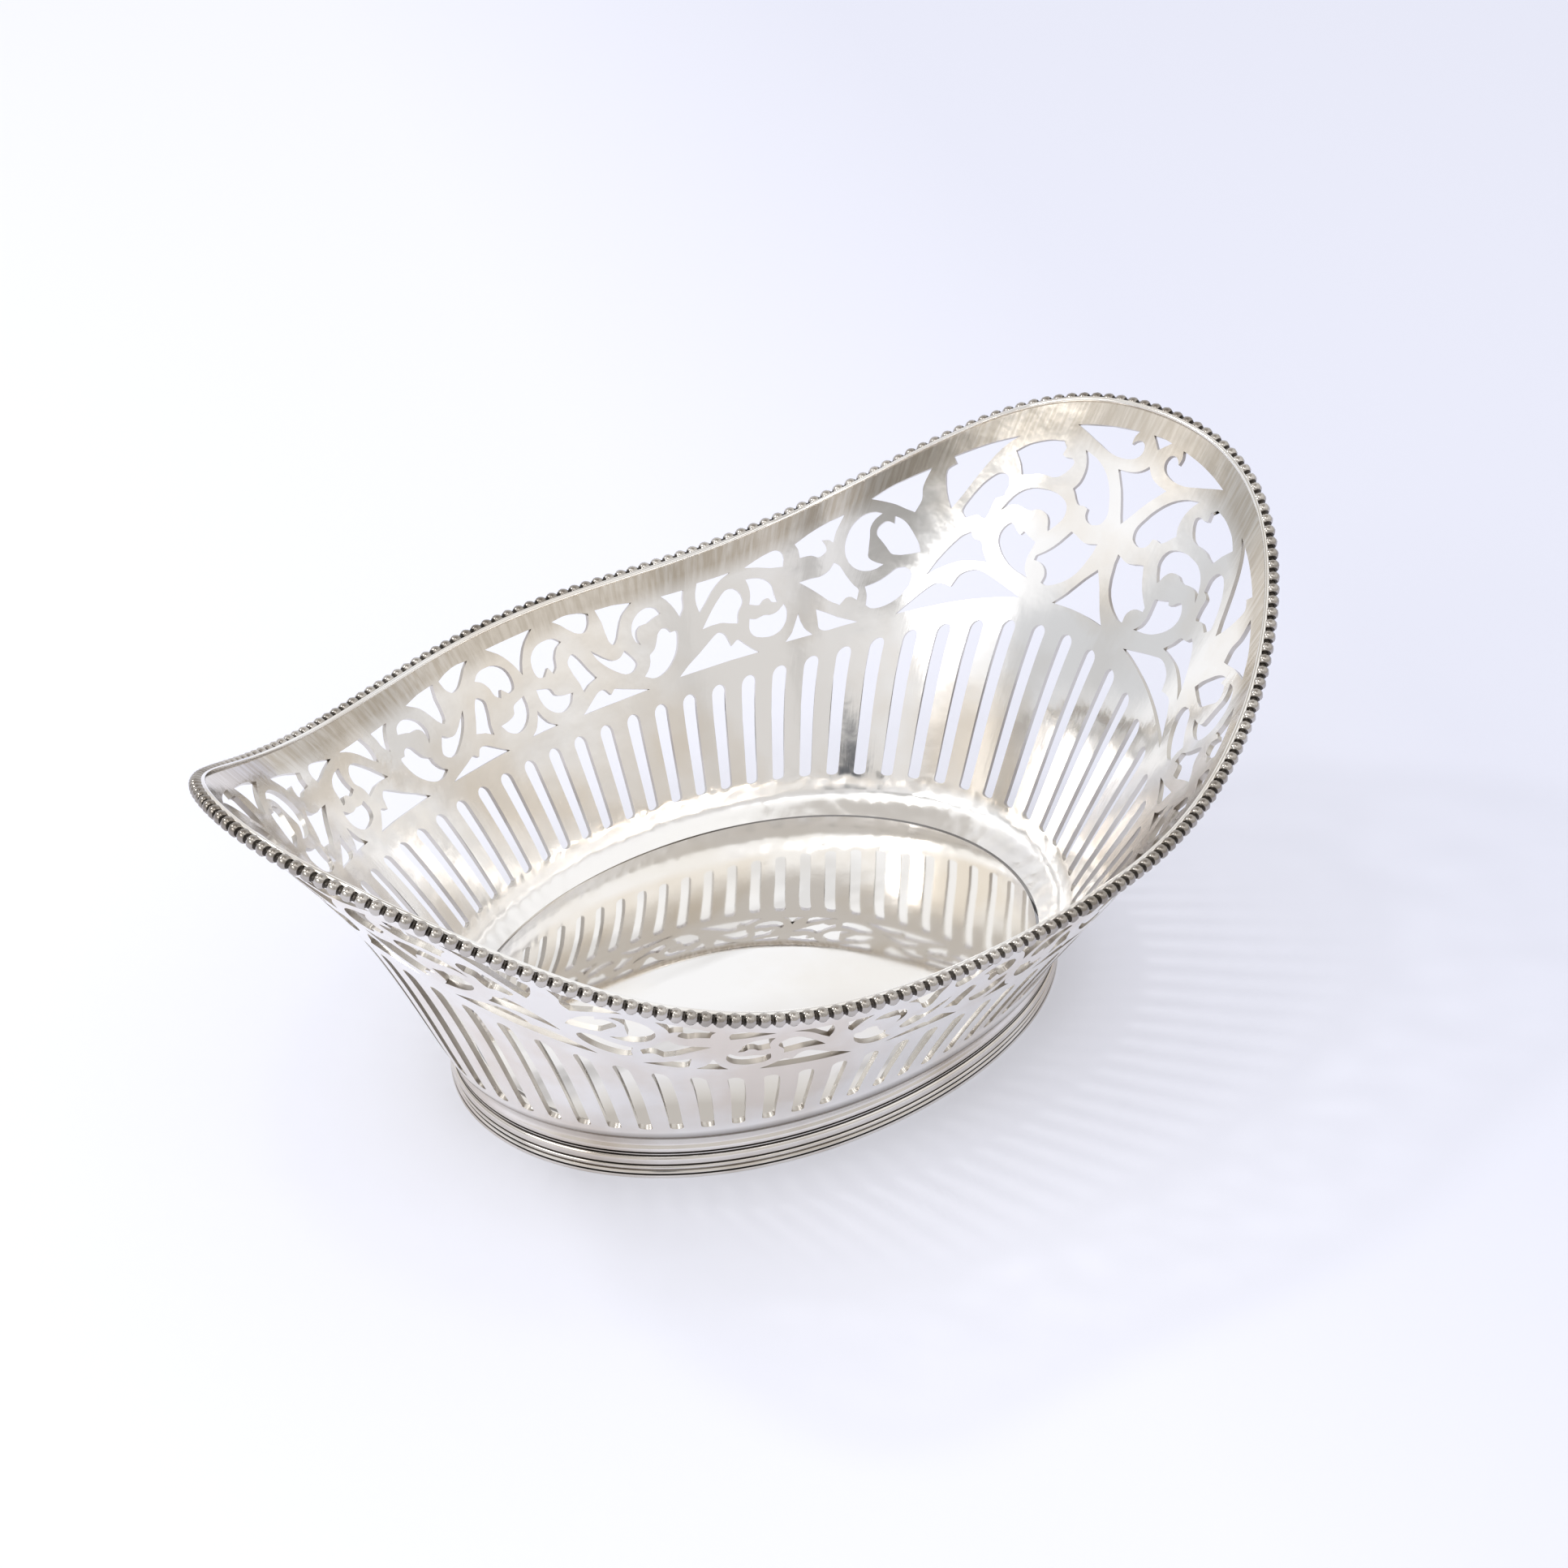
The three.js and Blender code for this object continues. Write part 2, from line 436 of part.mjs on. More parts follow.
// The flat ring is raised into the bowl wall: an outer face, an inner face, and edges where the sheet ends.
function bowlWall() {
  const { places, triangles } = roundSheet();
  const count = places.length;
  const points = [SHEET / 2, -SHEET / 2].flatMap((side) => places.map((p) => offWall(p.x, p.y, side)));
  const faces = triangles.flatMap(([a, b, c]) => [[a, b, c], [a + count, c + count, b + count]]);
  const edges = new Set(triangles.flatMap(([a, b, c]) => [`${a} ${b}`, `${b} ${c}`, `${c} ${a}`]));
  for (const edge of edges) {
    const [a, b] = edge.split(' ').map(Number);
    if (!edges.has(`${b} ${a}`)) faces.push([b, a, a + count], [b, a + count, b + count]);
  }
  return meshOf('bowl_wall', points, faces, SILVER);
}

// The floor plate lies inside the foot of the wall, with a solder gap all round.
function floorPlate() {
  const round = angles(FOOT_STATIONS);
  const top = FLOOR_LINE_HEIGHT + SHEET / 2;
  const edge = round.map((s) => onLine(FLOOR_LINE, s).addScaledVector(outOfLine(FLOOR_LINE, s), -FLOOR_INSET));
  const outline = new THREE.Shape(edge.map((p) => new THREE.Vector2(p.x, p.y)));
  const geometry = new THREE.ExtrudeGeometry(outline, { depth: FLOOR_THICKNESS, bevelEnabled: false });
  const plate = new THREE.Mesh(geometry, new THREE.MeshStandardMaterial(POLISHED));
  plate.position.z = top - FLOOR_THICKNESS;
  plate.name = 'floor_plate';
  return plate;
}

// A piece of the foot is a strip of one section bent round the foot line. The band has a convex mould below, a
// groove, a small fillet and a hollow above; the wire is flat where it stands on the table.
function footRing(name, section) {
  const sections = evenRound((s) => onLine(FOOT, s), FOOT_STATIONS).map((s) => (
    section.map(([out, up]) => onLine(FOOT, s).addScaledVector(outOfLine(FOOT, s), out).setZ(up))));
  return ringPiece(name, sections, SILVER);
}

// A wire that follows the rim, centred a step out of the wall and a step up it; its radius may change along it.
function rimWire(name, count, sides, out, up, radiusAt, look) {
  const rimLine = (s) => onWall(s, RIM_LEVEL);
  const sections = evenRound(rimLine, count).map((s, i) => {
    const outward = outOfWall(s, RIM_LEVEL);
    const upward = upWall(s, RIM_LEVEL);
    const centre = rimLine(s).addScaledVector(outward, out).addScaledVector(upward, up);
    return angles(sides).map((turn) => centre.clone()
      .addScaledVector(outward, radiusAt(i) * Math.cos(turn))
      .addScaledVector(upward, radiusAt(i) * Math.sin(turn)));
  });
  return ringPiece(name, sections, look);
}

function beadWire() {
  const radiusAt = (i) => (i % 2 === 0 ? BEAD_RADIUS : BEAD_NECK_RADIUS);
  const up = SOLDER_GAP + BEAD_RADIUS;
  return rimWire('rim_bead_wire', 2 * BEAD_COUNT, BEAD_SIDES, 0, up, radiusAt, SILVER);
}

function innerWire() {
  const inward = -(SHEET / 2 + SOLDER_GAP + INNER_WIRE_RADIUS);
  const up = 0;
  return rimWire('rim_inner_wire', SLOTS, INNER_WIRE_SIDES, inward, up, () => INNER_WIRE_RADIUS, POLISHED);
}

const basket = new THREE.Group();
basket.add(bowlWall(), floorPlate());
basket.add(footRing('foot_band', FOOT_BAND_SECTION), footRing('foot_wire', FOOT_WIRE_SECTION));
basket.add(innerWire(), beadWire());

export default basket;
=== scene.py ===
# %% [markdown]
# # A pierced silver bonbon basket
#
# The real basket is a sheet of silver, raised with hammers into an oval boat, sawn through by hand with a fret
# saw, and finished with soldered wires: a plain bright one, a beaded one on the very edge, and a moulded band and
# wire for the foot. This lesson dresses the measured solid model in the same order as the silversmith works.
#
# Everything is in metres in the frame of the solid model: +Z up, +X along the basket, the origin on the table.
# Sizes are written in millimetres and multiplied by MM.

# %% The solid model, which fixes every size
import math

import bpy
import numpy as np
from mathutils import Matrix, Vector


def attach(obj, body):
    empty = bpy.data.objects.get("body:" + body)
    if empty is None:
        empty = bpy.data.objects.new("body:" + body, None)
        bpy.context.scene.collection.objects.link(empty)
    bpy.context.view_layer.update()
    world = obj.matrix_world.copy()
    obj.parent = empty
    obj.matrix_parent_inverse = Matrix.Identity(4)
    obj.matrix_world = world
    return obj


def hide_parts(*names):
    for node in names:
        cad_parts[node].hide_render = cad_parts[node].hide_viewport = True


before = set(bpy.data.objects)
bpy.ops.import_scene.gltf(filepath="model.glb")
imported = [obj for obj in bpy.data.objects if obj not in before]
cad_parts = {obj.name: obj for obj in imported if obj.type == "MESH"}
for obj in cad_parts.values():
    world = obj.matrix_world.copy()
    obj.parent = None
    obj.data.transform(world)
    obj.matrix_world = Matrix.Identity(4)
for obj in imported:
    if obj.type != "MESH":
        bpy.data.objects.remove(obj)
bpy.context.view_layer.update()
scene = bpy.context.scene
MM = 0.001

# %% [markdown]
# ## The camera
#
# The photograph looks down at the basket from one corner with a long lens: the far end isn't much smaller than
# the near one. The turn, the height and the distance were found by matching the rim and the foot to the picture.
# A short lens standing close would swell the near end instead.

# %% Camera at the photograph's angle
TARGET = Vector((15.4, 11.3, 22.7)) * MM
TURN_LEFT = math.radians(43.65)
LOOK_DOWN = math.radians(31.93)
DISTANCE = 602 * MM
LENS = 100.8                    # millimetres, on a sensor 36 mm wide

back = Vector((-math.sin(TURN_LEFT) * math.cos(LOOK_DOWN), -math.cos(TURN_LEFT) * math.cos(LOOK_DOWN),
               math.sin(LOOK_DOWN)))
bpy.ops.object.camera_add(location=TARGET + back * DISTANCE)
camera = bpy.context.object
camera.rotation_euler = (-back).to_track_quat("-Z", "Y").to_euler()
camera.data.lens = LENS
camera.data.sensor_width = 36
camera.data.clip_start = 0.01
scene.camera = camera
print("camera stands at, mm:", [round(v / MM) for v in camera.location])

# %% [markdown]
# ## The shape of the bowl as a formula
#
# A boat shape is easy to give as a few level lines: the edge of the floor, the shoulder above it, the feet of the
# slots, their heads, and the rim. Each line is an oval that may widen, narrow and rise, written as a short sum of
# cosines and sines, so that both ends and both sides come out alike. A smooth curve through the five lines gives
# every point between them. The same numbers made the solid model, so the dressed wall lies exactly on it.

# %% The five level lines
# Each is (terms of x, terms of y, terms of z), in millimetres.
FLOOR_LINE = ([42.1, 1.0], [33.2, 1.0], [5.3])
SHOULDER = ([46.2, 1.0], [35.2, 1.0], [7.2])
SLOT_FEET = ([47.6, 1.0], [36.2, 1.0], [9.6])
SLOT_HEADS = ([60.2, -0.2], [42.8, 0.6], [25.9, 6.0, 1.3])
RIM = ([81.4, -0.6, -0.9], [51.5, -0.9, -0.1], [47.2, 12.7, 1.2, -1.3])
FOOT = ([45.0, 1.0], [34.0, 1.0], [0.0])
FAN = 0.06                      # the slots lean towards the ends by this many radians as they rise
QUARTER = math.pi / 2


def on_line(line, s):
    """Points of a level line at the angles s."""
    length, width, rise = line
    x = sum(a * np.cos((2 * k + 1) * s) for k, a in enumerate(length))
    y = sum(a * np.sin((2 * k + 1) * s) for k, a in enumerate(width))
    z = sum(a * np.cos(2 * k * s) for k, a in enumerate(rise))
    return np.stack([x, y, z], -1) * MM


def fanned(s):
    return s + FAN * np.sin(2 * s)


# %% A smooth curve up the wall
def on_wall(s, level):
    """Points of the wall's middle surface: s runs round the oval, level from 0 at the floor to 4 at the rim."""
    s, level = np.broadcast_arrays(np.asarray(s, float), np.asarray(level, float))
    low = [on_line(line, s) for line in (FLOOR_LINE, SHOULDER, SLOT_FEET)]
    high = [on_line(line, fanned(s)) for line in (SLOT_HEADS, RIM)]
    knots = low + high
    knots = np.stack([2 * knots[0] - knots[1], *knots, 2 * knots[4] - knots[3]])
    span = np.clip(np.floor(level).astype(int), 0, 3)
    t = (level - span)[..., None]
    p0, p1, p2, p3 = (np.take_along_axis(knots, (span + i)[None, ..., None], 0)[0] for i in range(4))
    pairs = (p0, p1), (p1, p2), (p2, p3)
    d0, d1, d2 = (np.sqrt(np.linalg.norm(b - a, axis=-1, keepdims=True)) for a, b in pairs)
    leave = ((p1 - p0) / d0 - (p2 - p0) / (d0 + d1) + (p2 - p1) / d1) * d1
    arrive = ((p2 - p1) / d1 - (p3 - p1) / (d1 + d2) + (p3 - p2) / d2) * d1
    return (p1 + leave * t + (3 * (p2 - p1) - 2 * leave - arrive) * t**2
            + (2 * (p1 - p2) + leave + arrive) * t**3)


def unit(v):
    return v / np.linalg.norm(v, axis=-1, keepdims=True)


STEP = 1e-3                     # a small step, for measuring directions


def up_wall(s, level):
    level = np.asarray(level, float)
    return unit(on_wall(s, np.minimum(level + STEP, 4)) - on_wall(s, np.maximum(level - STEP, 0)))


def out_of_wall(s, level):
    return unit(np.cross(on_wall(s + STEP, level) - on_wall(s - STEP, level), up_wall(s, level)))


for place, angle in (("end", 0.0), ("side", QUARTER)):
    print("rim in the middle of the", place, "mm:", np.round(on_wall(angle, 4) / MM, 1))

# %% Even steps round a line
def even_angles(curve, count, turn=QUARTER):
    """Angles from 0 to a turn that are evenly far apart along a curve of the angle."""
    fine = np.linspace(0, turn, 2001)
    run = np.concatenate([[0], np.cumsum(np.linalg.norm(np.diff(curve(fine), axis=0), axis=1))])
    return np.interp(np.linspace(0, run[-1], count + 1), run, fine)


def middle_of_frieze(s):
    return (on_line(SLOT_HEADS, fanned(s)) + on_line(RIM, fanned(s))) / 2


DRAWN = 99                      # the frieze of a quarter is drawn 99 mm long
FRIEZE_ANGLES = even_angles(middle_of_frieze, 400)


def angle_at(along):
    """The angle round the oval of a place along the drawing."""
    return np.interp(along, np.linspace(0, DRAWN, len(FRIEZE_ANGLES)), FRIEZE_ANGLES)


def along_at(s):
    return np.interp(s, FRIEZE_ANGLES, np.linspace(0, DRAWN, len(FRIEZE_ANGLES)))


def level_at(along, up):
    """The level of a place that is some millimetres up the wall from the slot heads."""
    s = angle_at(along)
    return 3 + up * MM / np.linalg.norm(on_line(RIM, fanned(s)) - on_line(SLOT_HEADS, fanned(s)), axis=-1)


# %% [markdown]
# ## The drawing for the saw
#
# A silversmith glues a paper drawing on the sheet and saws along it. Here the drawing is text: each opening is a
# row of "along,up" points in millimetres, from the middle of the end towards the middle of the side, and up from
# the slot heads. A star marks a sharp corner, a smooth curve runs through the others, and an empty line parts the
# openings. It is a common running scroll with leaf tips. Only a quarter is drawn, because the sheet is the same in
# all four. The first two drawings hold halves of the openings that lie across the edges of the quarter.

# %% The openings of a quarter of the frieze
END_MIDDLE = """
0,3.6* 5.0,3.6* 3.5,5.3 2.5,6.8 1.6,8.2 0.8,9.3 0,10.3*

0,17.3* 0.6,18.2 1.3,19.4 2.1,20.8 3.0,22.2 4.0,23.5 4.6,24.3* 3.0,24.35 1.6,24.7 0.7,25.3 0,26.1*

0,28.6* 1.7,30.3* 0,30.4*
"""
SIDE_MIDDLE = """
99,2.8* 96.3,2.8* 97.6,3.6 98.5,4.8 99,5.9*

99,11.2* 98.3,12.8 96.9,14.9 95.0,16.5* 99,16.5*
"""
QUARTER_OPENINGS = """
4.1,30.2* 8.5,30.2 14.0,30.1* 12.3,29.1 10.6,28.1 8.9,27.2 7.3,26.4 5.4,25.95 4.0,26.0 2.8,26.4 2.2,27.1
2.1,27.9 2.5,28.7 3.3,29.0 4.1,28.6 4.4,28.2* 4.5,29.2

11.0,26.3* 8.8,25.3 7.0,24.1 5.8,23.0 4.8,21.8 4.0,20.6 3.3,19.2 2.8,18.0 2.8,17.0 3.2,16.2 4.4,15.8
5.6,16.2 6.2,17.0 6.35,17.9* 7.1,18.2 8.0,18.2 8.9,19.0 9.5,19.8 10.1,20.5* 9.6,21.4 9.5,22.6 9.7,23.8
10.2,25.0

2.05,13.5* 4.0,13.1 5.1,13.4 6.1,13.9 7.1,14.3* 7.7,13.4 8.3,12.4 9.1,11.5 10.1,10.7 11.0,10.2* 11.0,9.5*
9.9,9.2 9.1,8.7 8.5,8.0 8.2,7.2 8.3,6.2* 7.4,5.9 6.1,6.2 4.7,7.0 3.5,8.2 2.8,9.6 2.4,11.0 2.1,12.3

14.0,27.5* 15.5,27.7 17.2,27.85 19.0,27.7 20.5,27.4 22.0,26.6* 21.2,25.6 20.4,24.6 19.8,23.6 19.3,22.7*
17.8,22.6 16.8,22.7 15.3,22.4 14.1,22.05 13.1,22.2 12.4,22.8 11.9,23.6 11.8,24.3 12.4,24.9 13.6,25.1
14.2,25.5* 14.1,26.3

10.9,13.9* 10.0,14.9 9.4,16.0 9.5,17.3 10.2,18.4 11.5,19.3 13.2,20.0 15.0,20.4 16.9,20.55 18.5,20.0
19.5,18.9 20.1,17.4* 19.0,18.1 18.0,18.1 17.1,17.8 16.1,17.3 15.0,17.0 14.2,17.2 13.3,17.0 12.3,16.4
11.6,15.5 11.2,14.5

12.05,12.2* 13.6,13.1 14.7,13.9* 15.1,13.4* 15.9,14.0 16.7,14.9 17.5,15.35 18.3,14.8 18.6,13.8 18.3,12.6
17.7,11.6 16.9,10.6 15.9,9.6 14.7,8.6 13.0,7.6 10.9,6.7* 11.8,7.9 12.2,9.2 12.2,10.8

10.8,3.6* 16.0,3.5 21.0,3.5 26.0,3.4 31.9,3.4* 30.0,4.9 28.0,6.4 26.4,7.2 24.7,6.8 23.4,6.2* 22.6,7.9
21.0,8.4 19.4,8.2 16.6,6.8 13.6,5.1

20.7,19.6* 20.6,21.4 21.7,23.0 23.3,23.4 25.0,22.3 26.3,20.2 26.8,18.4 25.6,17.0* 23.8,17.2 22.2,16.4
21.9,17.8 21.9,19.4

18.6,9.3* 20.0,11.1 21.1,12.8 22.6,13.5 23.6,14.7* 25.0,14.2 26.4,12.8 27.8,10.8 28.7,8.8* 26.5,9.6
23.5,10.1 21.0,9.8

22.3,28.9* 27.0,28.4 32.2,27.3* 31.2,26.1* 32.4,25.4 31.7,23.2 30.4,20.9 28.9,18.9* 27.9,20.6 26.6,23.6
25.2,26.2 23.8,27.9

35.2,26.1* 38.0,25.4 41.2,24.4 43.9,23.0* 41.5,22.2 39.0,21.3 37.0,20.3 35.2,19.5* 34.8,21.2 35.5,23.4

41.0,20.4* 42.6,20.9 44.4,20.7 45.7,19.4 46.0,17.4 45.5,15.6 44.3,13.9 42.6,12.6 40.6,11.8 38.7,11.7
37.4,12.2* 39.2,12.9 40.8,13.9 41.3,15.3 41.8,17.0 42.3,18.6 42.0,19.6

38.6,19.6* 37.0,18.8 35.4,17.6 33.8,16.0 32.3,14.4 31.3,12.9* 33.0,12.9 35.0,13.1 36.6,13.6 38.0,14.8
39.6,16.2 40.8,17.4 40.9,18.3 40.1,19.0 39.2,18.9 38.2,18.4*

33.2,11.0 34.8,11.1 35.9,10.4 37.3,9.7 39.6,9.3* 38.7,7.8 38.3,6.2* 37.0,5.4 35.2,5.2 33.3,5.6 31.9,6.5
31.1,8.0 31.4,9.7

40.3,7.4* 40.6,9.0 42.0,10.1 44.0,11.9 45.7,13.6 46.9,14.3* 47.4,13.2 48.6,12.6 50.2,12.6 52.3,12.4*
50.5,11.3 48.0,9.8 45.5,8.3 43.4,7.3* 42.5,8.2 41.5,8.1

38.9,3.7* 42.0,3.7 45.0,3.7 46.3,4.4 46.9,5.7 47.8,7.6* 45.8,6.7 43.6,5.6 41.2,4.6

47.2,3.6* 49.0,4.9 50.2,6.3 51.0,7.6* 51.2,6.2 51.4,4.8 52.3,3.6*

47.6,21.4* 50.0,20.7 52.5,19.6 54.6,18.3* 53.8,17.4 53.2,16.1* 51.4,16.1 49.8,15.6 48.9,16.3 49.3,17.2
50.2,18.1* 48.9,17.9 48.1,17.4* 48.2,18.9 47.9,20.2

55.7,15.3* 55.9,16.6 56.6,17.6 57.6,18.0 59.2,17.6 61.0,16.8 62.0,16.3* 60.0,16.0 57.8,15.5

61.6,14.6* 59.9,14.5 58.4,14.0 57.0,12.9 56.2,11.4 55.4,10.2* 56.4,10.4 57.2,11.1 58.0,11.0 58.5,10.4
60.3,10.8* 60.4,12.2 60.9,13.5

54.1,9.7* 54.9,8.8 56.0,8.5 57.3,8.7 58.6,8.4 59.9,8.7* 59.6,7.0 58.6,5.9 56.8,5.3 55.0,5.2 53.6,5.8
53.0,7.0 53.3,8.6

61.8,8.4* 62.0,10.0 61.5,11.4 62.2,12.8 63.5,13.7 64.7,13.6 65.8,12.4 66.9,10.8 68.0,8.9* 66.5,9.1 64.8,9.1
63.2,8.7

64.2,16.1* 66.6,15.8 69.2,15.6* 69.4,14.0 69.2,12.7 68.6,11.3* 67.6,12.6 66.6,14.2 65.4,15.4

71.2,15.1* 74.7,15.0* 73.9,14.3 72.8,13.0 71.8,11.4* 71.2,12.6 71.3,14.0

57.2,3.2* 62.0,3.2 67.0,3.1 72.2,3.0* 70.5,4.3 68.4,5.6 66.6,7.0 65.2,7.8 64.0,7.3 63.2,6.2 62.6,5.3*
61.6,6.0 60.0,5.0 58.4,3.9

74.9,10.6 75.6,10.0 75.9,9.0 76.3,8.1 77.3,7.4* 77.3,6.4 77.8,5.4 78.6,4.7* 77.2,4.1 75.6,4.1 73.9,4.9
72.6,6.5 72.2,8.2 72.4,9.7 73.3,9.7* 74.0,10.4

74.9,12.7* 75.6,13.6 76.9,14.0 78.4,13.6 79.5,12.5 79.8,11.0 79.3,9.8 78.6,9.2* 79.0,10.3 78.9,11.2
78.3,11.8 77.0,11.9 76.2,12.3

79.2,15.3* 81.8,15.7 84.9,15.8* 84.2,13.8 84.0,12.3 83.6,10.9 83.0,10.4 82.3,11.0 81.7,12.4 80.9,13.9

81.4,9.2* 82.4,8.4 83.4,8.3 84.8,9.0 87.0,10.7* 86.2,9.2 85.0,7.9 83.4,6.7 81.8,5.9 80.3,6.0 79.6,6.8
80.2,7.9

78.0,2.7* 84.0,2.6 91.2,2.6* 90.0,3.3 88.6,4.2 87.4,4.9 86.2,4.9 85.2,3.9* 84.4,4.5 82.6,4.0 80.2,3.3

86.0,15.7* 87.5,16.2 89.5,16.5 91.7,16.3* 90.6,15.5 89.6,14.5 88.4,13.6 87.1,13.4 86.3,14.2

87.0,6.9* 88.2,8.6 89.2,10.3 90.1,11.2 91.2,10.3 90.9,8.7 90.2,7.0 89.9,5.6* 88.6,6.4

91.2,13.3* 92.2,14.1 93.8,14.3 95.4,14.0 96.7,12.9 97.1,11.3 96.7,10.0 95.6,9.7* 94.6,10.7* 94.0,9.6*
93.2,10.3 92.9,11.6 92.2,12.7

97.8,8.6* 96.6,8.3 95.4,7.9 94.9,6.9 93.8,6.4 91.8,6.2* 92.6,4.9 94.3,4.2 96.0,4.6 97.3,5.8 97.8,7.2
"""


# %% Reading an outline
def spline(points, steps=10):
    """A smooth open curve through points in a plane, centripetal as the wall's own."""
    points = np.asarray(points, float)
    if len(points) == 2:
        return points
    knots = np.vstack([2 * points[0] - points[1], points, 2 * points[-1] - points[-2]])
    dense = []
    for p0, p1, p2, p3 in zip(knots, knots[1:], knots[2:], knots[3:]):
        d0, d1, d2 = (math.sqrt(np.linalg.norm(b - a)) for a, b in ((p0, p1), (p1, p2), (p2, p3)))
        leave = ((p1 - p0) / d0 - (p2 - p0) / (d0 + d1) + (p2 - p1) / d1) * d1
        arrive = ((p2 - p1) / d1 - (p3 - p1) / (d1 + d2) + (p3 - p2) / d2) * d1
        for t in np.arange(steps) / steps:
            dense.append(p1 + leave * t + (3 * (p2 - p1) - 2 * leave - arrive) * t**2
                         + (2 * (p1 - p2) + leave + arrive) * t**3)
    return np.array(dense + [points[-1]])


def thinned(run, tolerance):
    """Keeps the points of an open run that stand off the straight line between its ends."""
    start, end = run[0], run[-1]
    along = (end - start) / max(np.linalg.norm(end - start), 1e-9)
    offs = np.abs(along[0] * (run - start)[:, 1] - along[1] * (run - start)[:, 0])
    far = int(np.argmax(offs))
    if len(run) < 3 or offs[far] < tolerance:
        return np.array([start, end])
    return np.vstack([thinned(run[:far + 1], tolerance)[:-1], thinned(run[far:], tolerance)])


def outline(text, closed=True, tolerance=0.03):
    words = text.split()
    words = words + words[:1] if closed else words
    points = [[float(n) for n in word.strip("*").split(",")] for word in words]
    corners = [0] + [i for i, word in enumerate(words) if word.endswith("*") and 0 < i < len(words) - 1]
    runs = [spline(points[a:b + 1]) for a, b in zip(corners, corners[1:] + [len(words) - 1])]
    return np.vstack([thinned(run, tolerance)[:-1] for run in runs] + ([] if closed else [points[-1:]]))


def each_opening(drawing):
    return drawing.strip().split("\n\n")


openings = [outline(text) for text in each_opening(QUARTER_OPENINGS)]
print(len(openings), "closed openings in a quarter,", sum(map(len, openings)), "corners")

# %% [markdown]
# ## The flat sheet and the saw cuts
#
# On screen the sheet is a fine flat grid, one millimetre a cell, given its thickness, and the openings are thin
# prisms that are cut out of it with one Boolean. Cutting while it is flat keeps the cuts square to the sheet, as
# a saw does, and the fine grid lets it bend smoothly afterwards. Modelling the bars one by one would take days.
#
# Flat X is the place along the drawing. Flat Y is the height up the wall, with one level above another.

# %% From levels to flat heights and back
SHEET = 0.7                     # thickness of the silver
FLAT_HEIGHTS = [0, 5, 8, 28, 56]    # flat height of the five level lines, about as far apart as on the wall


def flat_of(along, level):
    return np.stack(np.broadcast_arrays(along, np.interp(level, range(5), FLAT_HEIGHTS)), -1)


# %% The slots
SLOTS = 68
SLOT_FOOT_WIDTH = 1.7
SLOT_HEAD_WIDTH = 2.2
ROUND = np.radians(np.linspace(0, 180, 9))      # a half circle in nine points
PER_RADIAN = 60                 # mm of the drawing to a radian, for what lies past the edge of the quarter


def slot(s):
    """The outline of one slot round the line at angle s: straight sides and round ends."""
    lift = np.linalg.norm(on_wall(s, 3) - on_wall(s, 2)) / MM
    points = []
    for level, width, turn in ((2, SLOT_FOOT_WIDTH, math.pi), (3, SLOT_HEAD_WIDTH, 0)):
        stretch = np.linalg.norm(on_wall(s + STEP, level) - on_wall(s - STEP, level)) / (2 * STEP) / MM
        sign = 1 if level == 3 else -1
        middle = level - sign * width / 2 / lift
        for angle in ROUND:
            side = s + math.cos(angle + turn) * width / 2 / stretch
            inside = np.clip(side, 0, QUARTER)
            at = middle + math.sin(angle + turn) * width / 2 / lift
            points.append(flat_of(along_at(inside) + (side - inside) * PER_RADIAN, at))
    return np.array(points)


slot_angles = even_angles(lambda s: on_line(SLOT_FEET, s), SLOTS // 4)
cuts = [slot(s) for s in slot_angles]
cuts += [flat_of(o[:, 0], level_at(o[:, 0], o[:, 1])) for o in openings]
print(len(slot_angles), "slots touch a quarter")

# %% Half openings, carried past the edge of the quarter so that they cut it clean through
BEYOND = 3                      # mm


def half_cut(text, edge, past):
    half = outline(text, closed=False)
    flat = flat_of(half[:, 0], level_at(half[:, 0], half[:, 1]))
    return np.vstack([flat, [edge + past, flat[-1, 1]], [edge + past, flat[0, 1]]])


cuts += [half_cut(text, 0, -BEYOND) for text in each_opening(END_MIDDLE)]
cuts += [half_cut(text, DRAWN, BEYOND) for text in each_opening(SIDE_MIDDLE)]


# %% Helpers that work on one object
def pick(*objects):
    """Selects only these objects; the first is the active one."""
    bpy.ops.object.select_all(action="DESELECT")
    for thing in objects:
        thing.select_set(True)
    bpy.context.view_layer.objects.active = objects[0]


def tidy(thing, merge=1e-7):
    """Merges doubles and makes the faces point outwards."""
    pick(thing)
    bpy.ops.object.mode_set(mode="EDIT")
    bpy.ops.mesh.select_all(action="SELECT")
    bpy.ops.mesh.remove_doubles(threshold=merge)
    bpy.ops.mesh.normals_make_consistent(inside=False)
    bpy.ops.object.mode_set(mode="OBJECT")


def smooth(thing, degrees=35):
    pick(thing)
    bpy.ops.object.shade_smooth_by_angle(angle=math.radians(degrees))


def thicken(thing, height):
    """Extrudes a flat mesh upwards, which makes it a closed plate."""
    pick(thing)
    bpy.ops.object.mode_set(mode="EDIT")
    bpy.ops.mesh.select_all(action="SELECT")
    bpy.ops.mesh.extrude_region_move(TRANSFORM_OT_translate={"value": (0, 0, height)})
    bpy.ops.object.mode_set(mode="OBJECT")
    tidy(thing)


def apply_modifier(thing, modifier):
    pick(thing)
    bpy.ops.object.modifier_apply(modifier=modifier.name)


def places(thing):
    flat = np.empty(3 * len(thing.data.vertices))
    thing.data.vertices.foreach_get("co", flat)
    return flat.reshape(-1, 3)


def move_to(thing, points):
    thing.data.vertices.foreach_set("co", np.asarray(points).ravel())
    thing.data.update()


